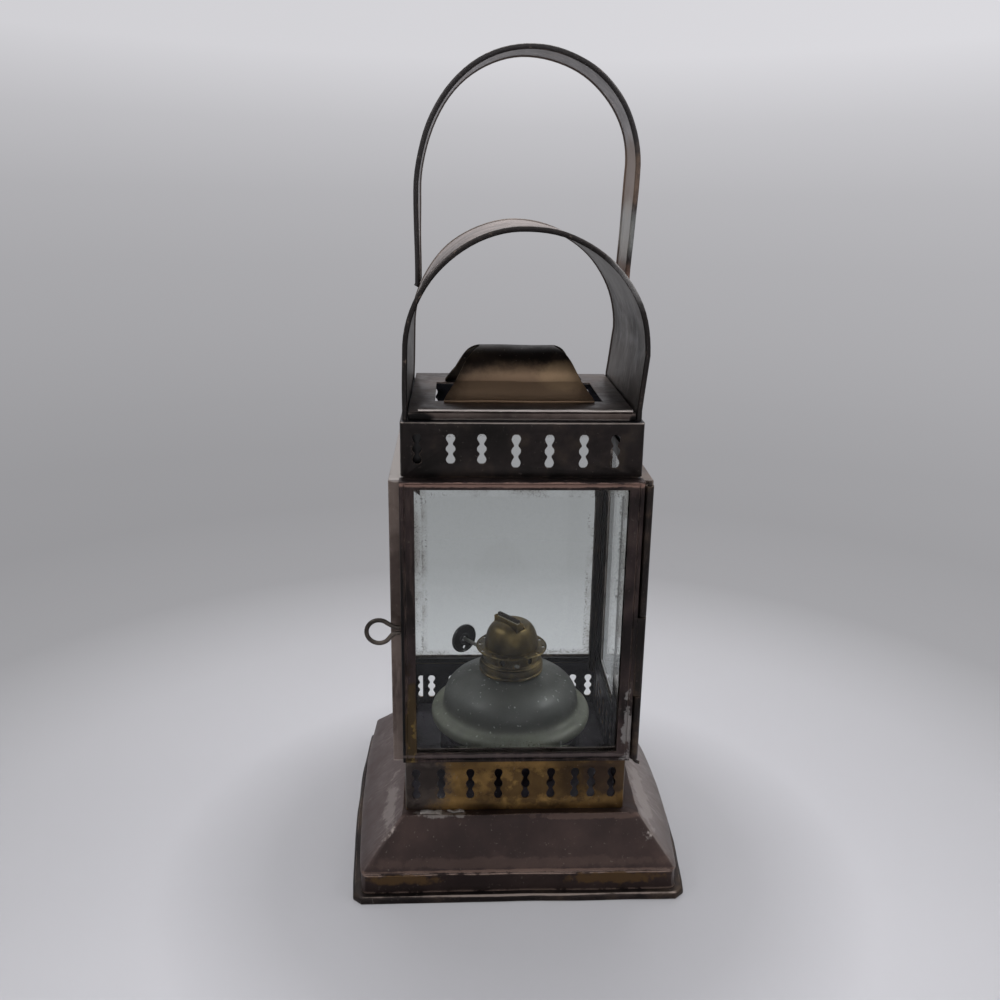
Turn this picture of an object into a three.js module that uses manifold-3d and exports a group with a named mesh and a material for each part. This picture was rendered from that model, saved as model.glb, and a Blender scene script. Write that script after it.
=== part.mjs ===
// Kerosene lantern of patinated brass sheet with a glazed square body, a vaulted canopy and a strap handle.
// Millimetres, +Z up, the door faces -Y. The origin is the centre of the base on the floor.

import * as THREE from 'three';
import { mergeVertices } from 'three/addons/utils/BufferGeometryUtils.js';
import Module from 'manifold-3d';

const wasm = await Module();
wasm.setup();

// Sheet and clearances
const SHEET = 0.8;
const FIT = 0.3;

// Sides of the round forms
const ROUND_SIDES = 24;
const CONE_SIDES = 20;
const KNUCKLE_SIDES = 12;
const WIRE_SIDES = 8;
const BAR_SIDES = 10;
const KNOB_SIDES = 28;
const HOLE_SIDES = 8;
const SMALL_HOLE_SIDES = 6;
const MERGE_WITHIN = 1e-4;

// Base
const RIM_HALF = 57;
const RIM_HEIGHT = 2.7;
const RIM_LEDGE = 2.6;
const RIM_CLIP = 2.6;
const PLINTH_HALF = RIM_HALF - RIM_LEDGE;
const PLINTH_HEIGHT = 7.3;
const RIM_INNER_HALF = PLINTH_HALF - SHEET - FIT / 2;
const HIP_BEAD = 0.9;
const SHOULDER_SHIFT = 2;
const SHOULDER_TOP = 24.8;
const LEDGE_WIDTH = 8;
const SIDE_BOW_LEFT = 2.3;
const SIDE_BOW_RIGHT = 4.2;
const BOW_STEPS = 6;
const BASE_SKEW = 1;
const BASE_BACK_SHARE = 0.947;
const SHOULDER_BACK_SHARE = 0.945;
const SKIRT_CORNER = 1.2;
const BASE_FORM = {
  bowLeft: SIDE_BOW_LEFT, bowRight: SIDE_BOW_RIGHT, skew: BASE_SKEW, backShare: BASE_BACK_SHARE,
};

// Square body
const BODY_HALF = 38.65;
const BODY_CORNER = 1.2;
const SHOULDER_HALF = BODY_HALF + 3.35;
const LOWER_BAND_HEIGHT = 19.2;
const WINDOW_HEIGHT = 103.3;
const UPPER_BAND_HEIGHT = 17.5;
const LIP_WIDTH = 4;
const POST_LEG = 2.6;
const POST_LAP = 3.5;

// Punched air slots: three round lobes in a row. The profile is the upper right quarter of one slot, as
// [half width, height above the slot's middle]. The rows were punched by eye, so neither their places along
// a wall nor their heights are even. A place is a share of the wall's half width. Walls count
// counter-clockwise from the front.
const SLOT_PROFILE = [
  [1.5, 0.4], [1.25, 0.9], [0.7, 1.55], [0.7, 1.95], [1.3, 3], [1.5, 3.8], [1.2, 4.7], [0.6, 5.2],
];
const FRONT_WALL = 0;
const RIGHT_WALL = 1;
const BACK_WALL = 2;
const LEFT_WALL = 3;
const UPPER_PLACES = [-0.88, -0.6, -0.34, -0.053, 0.227, 0.515, 0.78];
const LOWER_PLACES = [-0.92, -0.69, -0.42, -0.16, 0.092, 0.328, 0.552, 0.705, 0.895];
const UPPER_ROWS = [
  { walls: [FRONT_WALL], places: UPPER_PLACES.slice(0, 3), rise: 9, stretch: 0.93 },
  { walls: [FRONT_WALL], places: UPPER_PLACES.slice(3), rise: 8.3, stretch: 1.04 },
  { walls: [RIGHT_WALL, LEFT_WALL], places: UPPER_PLACES, rise: 8.4, stretch: 1 },
  { walls: [BACK_WALL], places: [-0.77, -0.51, -0.26, 0.01, 0.26, 0.53, 0.78], rise: 8.4, stretch: 1 },
];
const LOWER_ROWS = [
  { walls: [FRONT_WALL, RIGHT_WALL, LEFT_WALL], places: LOWER_PLACES, rise: 10.4, stretch: 1.15 },
  {
    walls: [BACK_WALL], places: [-0.93, -0.758, -0.542, -0.33, -0.106, 0.119, 0.357, 0.594, 0.822],
    rise: 8.7, stretch: 0.96,
  },
];

// Pane frames and the door: folded channels round bevelled glass
const PANE_THICKNESS = 2.6;
const SIDE_RAILS = { stile: 4, bottom: 3, top: 3 };
const SIDE_HEAD_GAP = 1.4;
const BACK_RAILS = { stile: 4.6, bottom: 2, top: 3 };
const BACK_LAP = 2.15;
const DOOR_RAILS = { stile: 4.7, bottom: 3.5, top: 2.8 };
const DOOR_LAP = 1.15;
const DOOR_CLEARANCE = 0.25;
const DOOR_FOOT_GAP = 2.4;
const DOOR_HEAD_GAP = 0.5;
const HEADER_DROP = 4.3;
const HEADER_LAP = 1.7;
const BEVEL_SHOWN = 2.3;
const BEVEL_DEPTH = 1;

// Door hinge and pull
const PIN_RADIUS = 0.6;
const KNUCKLE_BORE = PIN_RADIUS + 0.25;
const KNUCKLE_RADIUS = KNUCKLE_BORE + 0.55;
const LEAF_THICKNESS = 0.6;
const LEAF_FOOT_GAP = 0.2;
const LEAF_HEAD_GAP = 1.6;
const LEAF_BREAKS = [24.65, 53.55];
const PIN_TAIL = 2;
const PIN_CROOK = [[0.1, 0], [0.4, 0.5], [1, 0.7]];
const PULL_WIRE = 0.75;
const PULL_HEIGHT = 49;
const PULL_LOOP = 4.1;
const PULL_LEG = 3.2;
const PULL_NECK = 0.95;
const PULL_TILT = 0.5;
const PULL_LEG_POINTS = [0, 0.4, 0.8];
const PULL_FLARE = 0.25;
const PULL_MOUTH_ANGLE = 90;
const PULL_LOOP_STEPS = 8;
const PULL_POINTS = 36;

// Roof, vent hood, canopy and handle
const ROOF_SET_IN = 2.95;
const ROOF_HEIGHT = 2.5;
const HOOD_FOOT_HALF = 25;
const HOOD_FOOT_Y = 18.7;
const HOOD_FLANGE = 1.6;
const HOOD_LEAN = 5.2;
const HOOD_CREASE_RISE = 6.2;
const HOOD_CREASE_ANGLE = 29;
const HOOD_CREASE_HALF = 21.2;
const HOOD_TAPER = 5.5;
const HOOD_ROUNDING = 3;
const HOOD_ROUNDING_POWER = 6;
const HOOD_RISE = 16.2;
const HOOD_STEPS = 7;
const VENT_HALF_X = HOOD_FOOT_HALF + 3;
const VENT_HALF_Y = HOOD_FOOT_Y - 1.9;
const CANOPY_SET_IN = 1.05;
const CANOPY_FOOT_RISE = 3.2;
const CANOPY_BULGE = 0.8;
const CANOPY_SHIFT = 1.1;
const CANOPY_SPRING = 20.7;
const HEM_WIDTH = 1.8;
const HEM_PROUD = 0.4;
const HEM_OUTLINE = [[0, 0.4], [0.27, 1], [0.73, 1], [1, 0]];
const HANDLE_RADIUS = 35.7;
const HANDLE_SHIFT = 1.65;
const HANDLE_RISE = 91.8;
const HANDLE_FALL_LEFT = 43.8;
const HANDLE_FALL_RIGHT = 34.4;
const HANDLE_LEG_LEFT = -34.15;
const HANDLE_LEG_RIGHT = 35.8;
const HANDLE_HALF_WIDTH = 11;
const HANDLE_FOOT = 4;
const ARCH_STEPS = 20;

// Fount: the brim's outline is [in from the brim's radius, up from the brim's middle]
const CUP_RADIUS = 26.8;
const CUP_HEIGHT = 12.6;
const FOUNT_EASE = 0.6;
const GLASS_WALL = 2.2;
const BRIM_PROUD = 3.4;
const BRIM_RISE = 4.7;
const BRIM_OUTLINE = [[1.4, -3.8], [0, -1], [0, 0.8], [1.6, 2.6]];
const BRIM_HOLLOW = [[1, 1], [1, -0.6]];
const WAIST_DROP = 1.6;
const CROWN_RISE = 6.4;
const CROWN_HEIGHT = 10.9;
const DOME_STEPS = 6;
const DOME_FULLNESS = 0.8;
const NECK_WALL = 1.8;
const NECK_HEIGHT = 1.1;

// Burner and wick
const WICK_WIDTH = 11.2;
const WICK_THICKNESS = 1.4;
const WICK_EASE = 0.4;
const WICK_ABOVE = 1.2;
const WICK_LENGTH = 49;
const BURNER_SHEET = 0.5;
const TUBE_WIDTH = WICK_WIDTH + 2 * (WICK_EASE + BURNER_SHEET);
const TUBE_THICKNESS = WICK_THICKNESS + 2 * (FIT + BURNER_SHEET);
const TUBE_DIP = 2;
const TUBE_ABOVE = 1.1;
const SPINDLE_AZIMUTH = 128.2;
const SPINDLE_OFFSET = 5.2;
const SPINDLE_RISE = 1.1;
const SPINDLE_RADIUS = 0.7;
const SPROCKET_RADIUS = 2.6;
const SPROCKET_TOOTH = 0.7;
const SPROCKET_TEETH = 8;
const SPROCKET_WIDTH = 1;
const SPROCKET_PLACE = 3.5;
const WICK_PLACE = SPINDLE_OFFSET - SPROCKET_RADIUS - FIT - WICK_THICKNESS / 2;
const NECK_BORE = Math.hypot(TUBE_WIDTH / 2, WICK_PLACE + TUBE_THICKNESS / 2) + 0.4;
const NECK_RADIUS = NECK_BORE + NECK_WALL;
const BURNER_BORE = NECK_RADIUS - 0.8;
const COLLAR_RADIUS = NECK_RADIUS + 2.6;
const COLLAR_HEIGHT = 3.8;
const DRUM_RADIUS = COLLAR_RADIUS - 1.4;
const DRUM_HEIGHT = 5.1;
const DRUM_HOLES = 6;
const DRUM_HOLE_RADIUS = 1.2;
const GALLERY_RADIUS = DRUM_RADIUS + 2.7;
const AIR_HOLES = 12;
const AIR_HOLE_RADIUS = 0.6;
const RIM_HOLE_RADIUS = 0.9;
const CONE_RADIUS = DRUM_RADIUS - 0.6;
const CONE_HEIGHT = 10;
const CONE_STEPS = 5;
const CONE_FULLNESS = 0.5;
const KNOB_DISTANCE = 21.5;
const KNOB_RADIUS = 5.7;
const KNOB_THICKNESS = 1.2;
const KNOB_HOLE_PLACE = 3.3;
const KNOB_HOLE_RADIUS = 0.5;

// Places that follow from the sizes above
const PLINTH_TOP = RIM_HEIGHT + PLINTH_HEIGHT;
const LOWER_BAND_TOP = SHOULDER_TOP + LOWER_BAND_HEIGHT;
const UPPER_BAND_FOOT = LOWER_BAND_TOP + WINDOW_HEIGHT;
const UPPER_BAND_TOP = UPPER_BAND_FOOT + UPPER_BAND_HEIGHT;
const ROOF_TOP = UPPER_BAND_TOP + ROOF_HEIGHT;
const POST_FACE = BODY_HALF - SHEET;
const FRAME_DEPTH = PANE_THICKNESS + 2 * (FIT + SHEET);
const SIDE_FRAME_HALF = POST_FACE - FIT;
const BACK_FRAME_HALF = POST_FACE + BACK_LAP;
const DOOR_HALF = POST_FACE + DOOR_LAP;
const DOOR_BACK = POST_FACE + DOOR_CLEARANCE;
const DOOR_FRONT = DOOR_BACK + FRAME_DEPTH;
const DOOR_FOOT = LOWER_BAND_TOP + DOOR_FOOT_GAP;
const DOOR_HEAD = UPPER_BAND_FOOT - DOOR_HEAD_GAP;
const HINGE_X = DOOR_HALF + FIT + KNUCKLE_RADIUS;
const HINGE_Y = -DOOR_FRONT + FIT + KNUCKLE_RADIUS;
const CANOPY_FOOT_HALF = BODY_HALF - CANOPY_SET_IN;
const CANOPY_RADIUS = CANOPY_FOOT_HALF + CANOPY_BULGE;
const CANOPY_CENTRE = UPPER_BAND_TOP + CANOPY_SPRING;
const HANDLE_TOP = CANOPY_CENTRE + HANDLE_RISE;
const ROOF_HALF_X = CANOPY_FOOT_HALF - SHEET - HEM_PROUD - FIT;
const ROOF_HALF_Y = BODY_HALF - ROOF_SET_IN;
const FLOOR_TOP = SHOULDER_TOP + SHEET;
const FOUNT_FOOT = FLOOR_TOP + SHEET;
const FOUNT_RADIUS = CUP_RADIUS - SHEET - FOUNT_EASE;
const CUP_TOP = FLOOR_TOP + CUP_HEIGHT;
const BRIM_RADIUS = CUP_RADIUS + BRIM_PROUD;
const BRIM_MIDDLE = CUP_TOP + FIT + BRIM_RISE;
const CROWN_FOOT = BRIM_MIDDLE + CROWN_RISE;
const CROWN_TOP = CROWN_FOOT + CROWN_HEIGHT;
const NECK_TOP = CROWN_TOP + NECK_HEIGHT;
const COLLAR_FOOT = CROWN_TOP + FIT;
const DRUM_FOOT = COLLAR_FOOT + COLLAR_HEIGHT + FIT;
const DRUM_TOP = DRUM_FOOT + DRUM_HEIGHT;
const GALLERY_TOP = DRUM_TOP + BURNER_SHEET;
const CONE_TOP = GALLERY_TOP + CONE_HEIGHT;
const SPINDLE_HEIGHT = DRUM_FOOT + SPINDLE_RISE + SPINDLE_RADIUS;
const TUBE_FOOT = NECK_TOP - TUBE_DIP;
const TUBE_TOP = CONE_TOP + TUBE_ABOVE;

// Finishes
function finish(color, metalness, roughness) {
  return new THREE.MeshStandardMaterial({ color, metalness, roughness });
}
const darkBrass = finish('#2c2522', 0.85, 0.5);
const purpleBrass = finish('#3f3531', 0.8, 0.55);
const goldBrass = finish('#7d6236', 0.85, 0.5);
const greyBrass = finish('#5c5a56', 0.8, 0.45);
const wireSteel = finish('#55524c', 0.9, 0.4);
const burnerBrass = finish('#6b5a3a', 0.85, 0.5);
const blackenedSteel = finish('#15151a', 0.6, 0.5);
const feltWick = finish('#d8d2c0', 0, 0.95);
const clearGlass = new THREE.MeshStandardMaterial({
  color: '#c8d6d4', metalness: 0, roughness: 0.05, transparent: true, opacity: 0.3,
});
const agedGlass = new THREE.MeshStandardMaterial({
  color: '#50534f', metalness: 0, roughness: 0.4, transparent: true, opacity: 0.8,
});

const lantern = new THREE.Group();

// Adds one named sub-part to a group.
function addPart(name, geometry, material, group = lantern) {
  const mesh = new THREE.Mesh(geometry, material);
  mesh.name = name;
  group.add(mesh);
  return mesh;
}

// Turns a closed mesh round when its faces point inwards.
function facingOut(geometry) {
  const place = geometry.getAttribute('position');
  const index = geometry.getIndex();
  const [a, b, c] = [new THREE.Vector3(), new THREE.Vector3(), new THREE.Vector3()];
  let volume = 0;
  for (let i = 0; i < index.count; i += 3) {
    a.fromBufferAttribute(place, index.getX(i));
    b.fromBufferAttribute(place, index.getX(i + 1));
    c.fromBufferAttribute(place, index.getX(i + 2));
    volume += a.dot(b.cross(c));
  }
  if (volume < 0) {
    for (let i = 0; i < index.count; i += 3) {
      const kept = index.getX(i + 1);
      index.setX(i + 1, index.getX(i + 2));
      index.setX(i + 2, kept);
    }
  }
  geometry.computeVertexNormals();
  return geometry;
}

// Joins equal rows of points into a skin. A looped skin closes on its first row, any other gets flat ends
// that are triangulated from the row's outline.
function skin(rows, outline = null) {
  const count = rows[0].length;
  const looped = outline === null;
  const index = [];
  const last = looped ? rows.length : rows.length - 1;
  for (let r = 0; r < last; r += 1) {
    const low = r * count;
    const high = ((r + 1) % rows.length) * count;
    for (let i = 0; i < count; i += 1) {
      const j = (i + 1) % count;
      index.push(low + i, low + j, high + j, low + i, high + j, high + i);
    }
  }
  if (!looped) {
    const far = (rows.length - 1) * count;
    for (const [i, j, k] of THREE.ShapeUtils.triangulateShape(outline, [])) {
      const turned = THREE.ShapeUtils.isClockWise(outline) ? [i, j, k] : [i, k, j];
      index.push(...turned, far + turned[0], far + turned[2], far + turned[1]);
    }
  }
  const geometry = new THREE.BufferGeometry();
  const places = rows.flat().flatMap((p) => p.toArray());
  geometry.setAttribute('position', new THREE.Float32BufferAttribute(places, 3));
  geometry.setIndex(index);
  return facingOut(geometry);
}

// A box between two corners.
function block(x0, x1, y0, y1, z0, z1) {
  const box = new THREE.BoxGeometry(x1 - x0, y1 - y0, z1 - z0);
  return box.translate((x0 + x1) / 2, (y0 + y1) / 2, (z0 + z1) / 2);
}

// An upright round solid from a closed profile of [radius, height] points.
function turned(profile, segments = ROUND_SIDES) {
  const lathe = new THREE.LatheGeometry(profile.map(([r, z]) => new THREE.Vector2(r, z)), segments);
  return facingOut(lathe.rotateX(Math.PI / 2));
}

// A ring of square section, round about Z.
function ring(inner, outer, low, high, segments = ROUND_SIDES) {
  return turned([[inner, low], [outer, low], [outer, high], [inner, high], [inner, low]], segments);
}

// Only places are kept, and shared corners are merged, as a boolean needs.
function merged(geometry) {
  const bare = geometry.clone();
  bare.deleteAttribute('normal');
  bare.deleteAttribute('uv');
  return mergeVertices(bare, MERGE_WITHIN);
}

function toSolid(geometry) {
  const bare = merged(geometry);
  const mesh = new wasm.Mesh({
    numProp: 3,
    vertProperties: Float32Array.from(bare.getAttribute('position').array),
    triVerts: Uint32Array.from(bare.getIndex().array),
  });
  return new wasm.Manifold(mesh);
}

function fromSolid(solid) {
  const mesh = solid.getMesh();
  const geometry = new THREE.BufferGeometry();
  geometry.setAttribute('position', new THREE.BufferAttribute(mesh.vertProperties, 3));
  geometry.setIndex(new THREE.BufferAttribute(mesh.triVerts, 1));
  geometry.computeVertexNormals();
  return geometry;
}

function cut(body, ...tools) {
  return fromSolid(tools.reduce((solid, tool) => solid.subtract(toSolid(tool)), toSolid(body)));
}

function join(body, ...others) {
  return fromSolid(others.reduce((solid, other) => solid.add(toSolid(other)), toSolid(body)));
}

// A level square outline with rounded or clipped corners. The bows push the middles of the left and right sides
// out, the skew draws the back to the left, and a back share under 1 brings the back nearer.
function squareRow(half, z, corner, form = {}) {
  const { shift = 0, bowLeft = 0, bowRight = 0, skew = 0, backShare = 1, clipped = false } = form;
  const row = [];
  const straight = half - corner;
  const bowed = (x, y) => {
    const swell = 1 - (y / half) ** 2;
    const push = x > 0 ? bowRight * swell : -bowLeft * swell;
    row.push(new THREE.Vector3(x + push + shift - skew * y / half, y > 0 ? y * backShare : y, z));
  };
  const arc = (turn, cx, cy) => {
    for (const part of clipped ? [0, 1] : [0, 0.5, 1]) {
      const angle = (turn + part) * Math.PI / 2;
      bowed(cx + corner * Math.cos(angle), cy + corner * Math.sin(angle));
    }
  };
  const side = (x, from) => {
    for (let i = 1; i < BOW_STEPS; i += 1) {
      bowed(x, from * (1 - 2 * i / BOW_STEPS));
    }
  };
  arc(0, straight, straight);
  arc(1, -straight, straight);
  side(-half, straight);
  arc(2, -straight, -straight);
  arc(3, straight, -straight);
  side(half, -straight);
  return row;
}

function baseRim() {
  const form = { ...BASE_FORM, clipped: true };
  const round = SHEET / 2;
  return skin([
    squareRow(RIM_HALF - round, 0, RIM_CLIP, form),
    squareRow(RIM_HALF, round, RIM_CLIP, form),
    squareRow(RIM_HALF, RIM_HEIGHT - round, RIM_CLIP, form),
    squareRow(RIM_HALF - round, RIM_HEIGHT, RIM_CLIP, form),
    squareRow(RIM_INNER_HALF, RIM_HEIGHT, RIM_CLIP, form),
    squareRow(RIM_INNER_HALF, 0, RIM_CLIP, form),
  ]);
}

// The skirt is one sheet: an upright plinth, a bead, a hipped slope and a level shoulder, open underneath.
function baseSkirt() {
  const top = { shift: SHOULDER_SHIFT, backShare: SHOULDER_BACK_SHARE };
  const ledge = SHOULDER_HALF - LEDGE_WIDTH;
  const slope = PLINTH_HALF - HIP_BEAD;
  return skin([
    squareRow(PLINTH_HALF, RIM_HEIGHT, SKIRT_CORNER, BASE_FORM),
    squareRow(PLINTH_HALF, PLINTH_TOP, SKIRT_CORNER, BASE_FORM),
    squareRow(slope, PLINTH_TOP + HIP_BEAD, SKIRT_CORNER, BASE_FORM),
    squareRow(SHOULDER_HALF, SHOULDER_TOP, SKIRT_CORNER, top),
    squareRow(ledge, SHOULDER_TOP, SKIRT_CORNER, top),
    squareRow(ledge, SHOULDER_TOP - SHEET, SKIRT_CORNER, top),
    squareRow(SHOULDER_HALF - SHEET / 2, SHOULDER_TOP - SHEET, SKIRT_CORNER, top),
    squareRow(slope - SHEET, PLINTH_TOP + HIP_BEAD - SHEET / 2, SKIRT_CORNER, BASE_FORM),
    squareRow(PLINTH_HALF - SHEET, PLINTH_TOP - SHEET, SKIRT_CORNER, BASE_FORM),
    squareRow(PLINTH_HALF - SHEET, RIM_HEIGHT, SKIRT_CORNER, BASE_FORM),
  ]);
}

// The floor's corners are rounded to clear the band's inner corners.
function floorPlate() {
  const half = POST_FACE - FIT;
  const rows = [SHOULDER_TOP, FLOOR_TOP].map((z) => squareRow(half, z, BODY_CORNER));
  return skin(rows, rows[0].map((p) => new THREE.Vector2(p.x, p.y)));
}

// The outline of one air slot, centred on the origin.
function slotOutline(stretch) {
  const upperRight = SLOT_PROFILE.map(([x, z]) => [x, z * stretch]);
  const upper = [...upperRight, ...upperRight.map(([x, z]) => [-x, z]).reverse()];
  const lower = upper.map(([x, z]) => [-x, -z]);
  return new THREE.Shape([...upper, ...lower].map(([x, z]) => new THREE.Vector2(x, z)));
}

// Cuts rows of slots through a band. A place counts to the right of the wall's middle as seen from outside.
function cutSlots(band, foot, rows) {
  const reach = 4 * SHEET;
  const tools = [];
  for (const { walls, places, rise, stretch } of rows) {
    for (const wall of walls) {
      for (const place of places) {
        const tool = new THREE.ExtrudeGeometry(slotOutline(stretch), { depth: reach, bevelEnabled: false });
        tool.rotateX(Math.PI / 2);
        tool.translate(place * POST_FACE, -BODY_HALF + reach / 2, foot + rise);
        tools.push(tool.rotateZ(wall * Math.PI / 2));
      }
    }
  }
  return cut(band, ...tools);
}

function lowerBand() {
  const tube = skin([
    squareRow(BODY_HALF, SHOULDER_TOP, BODY_CORNER),
    squareRow(BODY_HALF, LOWER_BAND_TOP, BODY_CORNER),
    squareRow(POST_FACE, LOWER_BAND_TOP, BODY_CORNER),
    squareRow(POST_FACE, SHOULDER_TOP, BODY_CORNER),
  ]);
  return cutSlots(tube, SHOULDER_TOP, LOWER_ROWS);
}

// The upper band's top edge is turned in as a lip that carries the roof and the canopy.
function upperBand() {
  const lip = POST_FACE - LIP_WIDTH + SHEET;
  const tube = skin([
    squareRow(BODY_HALF, UPPER_BAND_FOOT, BODY_CORNER),
    squareRow(BODY_HALF, UPPER_BAND_TOP, BODY_CORNER),
    squareRow(lip, UPPER_BAND_TOP, BODY_CORNER),
    squareRow(lip, UPPER_BAND_TOP - SHEET, BODY_CORNER),
    squareRow(POST_FACE, UPPER_BAND_TOP - SHEET, BODY_CORNER),
    squareRow(POST_FACE, UPPER_BAND_FOOT, BODY_CORNER),
  ]);
  return cutSlots(tube, UPPER_BAND_FOOT, UPPER_ROWS);
}

// A corner angle inside the bands, at the corner given by two signs.
function cornerPost(signX, signY) {
  const outer = POST_FACE;
  const low = LOWER_BAND_TOP - POST_LAP;
  const high = UPPER_BAND_TOP - SHEET - FIT;
  const corner = [
    [outer - BODY_CORNER, outer], [outer - POST_LEG, outer], [outer - POST_LEG, outer - SHEET],
    [outer - SHEET, outer - SHEET], [outer - SHEET, outer - POST_LEG], [outer, outer - POST_LEG],
    [outer, outer - BODY_CORNER],
  ];
  const outline = new THREE.Shape(corner.map(([x, y]) => new THREE.Vector2(signX * x, signY * y)));
  const post = new THREE.ExtrudeGeometry(outline, { depth: high - low, bevelEnabled: false });
  return post.translate(0, 0, low);
}

// A strip between two posts, soldered inside the upper band, that closes the gap over a pane frame.
function header(wall) {
  const reach = POST_FACE - POST_LEG;
  const [low, high] = [UPPER_BAND_FOOT - HEADER_DROP, UPPER_BAND_FOOT + HEADER_LAP];
  return block(-reach, reach, -POST_FACE, SHEET - POST_FACE, low, high).rotateZ(wall * Math.PI / 2);
}

// A rectangle in the XZ plane at depth y, drawn in from a frame's edge by its own amount on each side.
function frameRow(half, foot, head, y, { stile, bottom, top }) {
  return [
    new THREE.Vector3(-half + stile, y, foot + bottom), new THREE.Vector3(half - stile, y, foot + bottom),
    new THREE.Vector3(half - stile, y, head - top), new THREE.Vector3(-half + stile, y, head - top),
  ];
}

// A channel of folded sheet, open towards the glass, that faces -Y with its back at the given depth.
function channelFrame(half, foot, head, back, rails) {
  const edge = { stile: 0, bottom: 0, top: 0 };
  const web = { stile: SHEET, bottom: SHEET, top: SHEET };
  const rows = [
    [edge, 0], [rails, 0], [rails, SHEET], [web, SHEET],
    [web, FRAME_DEPTH - SHEET], [rails, FRAME_DEPTH - SHEET], [rails, FRAME_DEPTH], [edge, FRAME_DEPTH],
  ];
  return skin(rows.map(([inset, depth]) => frameRow(half, foot, head, -back - depth, inset)));
}

// The pane that sits in a channel frame, with its front edges ground to a bevel.
function bevelledPane(half, foot, head, back, rails) {
  const seat = SHEET + FIT;
  const rear = back + seat;
  const edge = { stile: seat, bottom: seat, top: seat };
  const bevel = {
    stile: rails.stile + BEVEL_SHOWN, bottom: rails.bottom + BEVEL_SHOWN, top: rails.top + BEVEL_SHOWN,
  };
  const rows = [[edge, 0], [edge, PANE_THICKNESS - BEVEL_DEPTH], [bevel, PANE_THICKNESS]];
  const points = rows.map(([inset, depth]) => frameRow(half, foot, head, -rear - depth, inset));
  return skin(points, points[0].map((p) => new THREE.Vector2(p.x, p.z)));
}

function addFixedPanes() {
  const foot = LOWER_BAND_TOP + FIT;
  for (const [side, wall, half, rails, gap] of [
    ['right', RIGHT_WALL, SIDE_FRAME_HALF, SIDE_RAILS, SIDE_HEAD_GAP],
    ['back', BACK_WALL, BACK_FRAME_HALF, BACK_RAILS, FIT],
    ['left', LEFT_WALL, SIDE_FRAME_HALF, SIDE_RAILS, SIDE_HEAD_GAP],
  ]) {
    const head = UPPER_BAND_FOOT - gap;
    const angle = wall * Math.PI / 2;
    const frame = channelFrame(half, foot, head, POST_FACE, rails);
    const pane = bevelledPane(half, foot, head, POST_FACE, rails);
    addPart(`${side}_pane_frame`, frame.rotateZ(angle), darkBrass);
    addPart(`${side}_glass`, pane.rotateZ(angle), clearGlass);
  }
}

// A rolled knuckle round the hinge pin between two heights.
function knuckle(low, high) {
  return ring(KNUCKLE_BORE, KNUCKLE_RADIUS, low, high, KNUCKLE_SIDES).translate(HINGE_X, HINGE_Y, 0);
}

// A leaf soldered to the front end of the right pane frame.
function bodyLeaf(low, high) {
  const edge = HINGE_X + KNUCKLE_RADIUS;
  const tab = block(edge - LEAF_THICKNESS, edge, HINGE_Y, -SIDE_FRAME_HALF, low, high);
  return join(cut(tab, pinHole(low, high)), knuckle(low, high));
}

// A leaf soldered to the door's right edge.
function doorLeaf(low, high) {
  const front = HINGE_Y - KNUCKLE_RADIUS;
  const tab = block(DOOR_HALF, HINGE_X, front, front + LEAF_THICKNESS, low, high);
  return join(cut(tab, pinHole(low, high)), knuckle(low, high));
}

function pinHole(low, high) {
  const hole = new THREE.CylinderGeometry(KNUCKLE_BORE, KNUCKLE_BORE, high - low + 2 * FIT, KNUCKLE_SIDES);
  return hole.rotateX(Math.PI / 2).translate(HINGE_X, HINGE_Y, (low + high) / 2);
}

// Unit directions square to a path's run, turned left of it, one for each point of the path.
function sideways(path) {
  return path.map((point, i) => {
    const before = path[Math.max(i - 1, 0)];
    const after = path[Math.min(i + 1, path.length - 1)];
    const run = new THREE.Vector2(after[0] - before[0], after[1] - before[1]).normalize();
    return new THREE.Vector2(-run.y, run.x);
  });
}

// A round wire along a path of [x, z] points in the upright plane at depth y.
function wire(path, y, radius) {
  const out = sideways(path);
  const circle = Array.from({ length: WIRE_SIDES }, (_, k) => {
    const angle = (k / WIRE_SIDES) * 2 * Math.PI;
    return new THREE.Vector2(radius * Math.cos(angle), radius * Math.sin(angle));
  });
  const rows = path.map(([x, z], i) => circle.map(
    (c) => new THREE.Vector3(x + out[i].x * c.x, y + c.y, z + out[i].y * c.x),
  ));
  return skin(rows, circle);
}

// The pin is a straight wire whose lower tip is bent aside so that it can't climb out.
function hingePin() {
  const bend = DOOR_FOOT - FIT;
  const tail = PIN_CROOK.map(([across, down]) => [HINGE_X + PIN_TAIL * across, bend - PIN_TAIL * down]);
  const path = [[HINGE_X, DOOR_HEAD], [HINGE_X, bend + PIN_RADIUS], ...tail];
  return wire(path, HINGE_Y, PIN_RADIUS);
}

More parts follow.
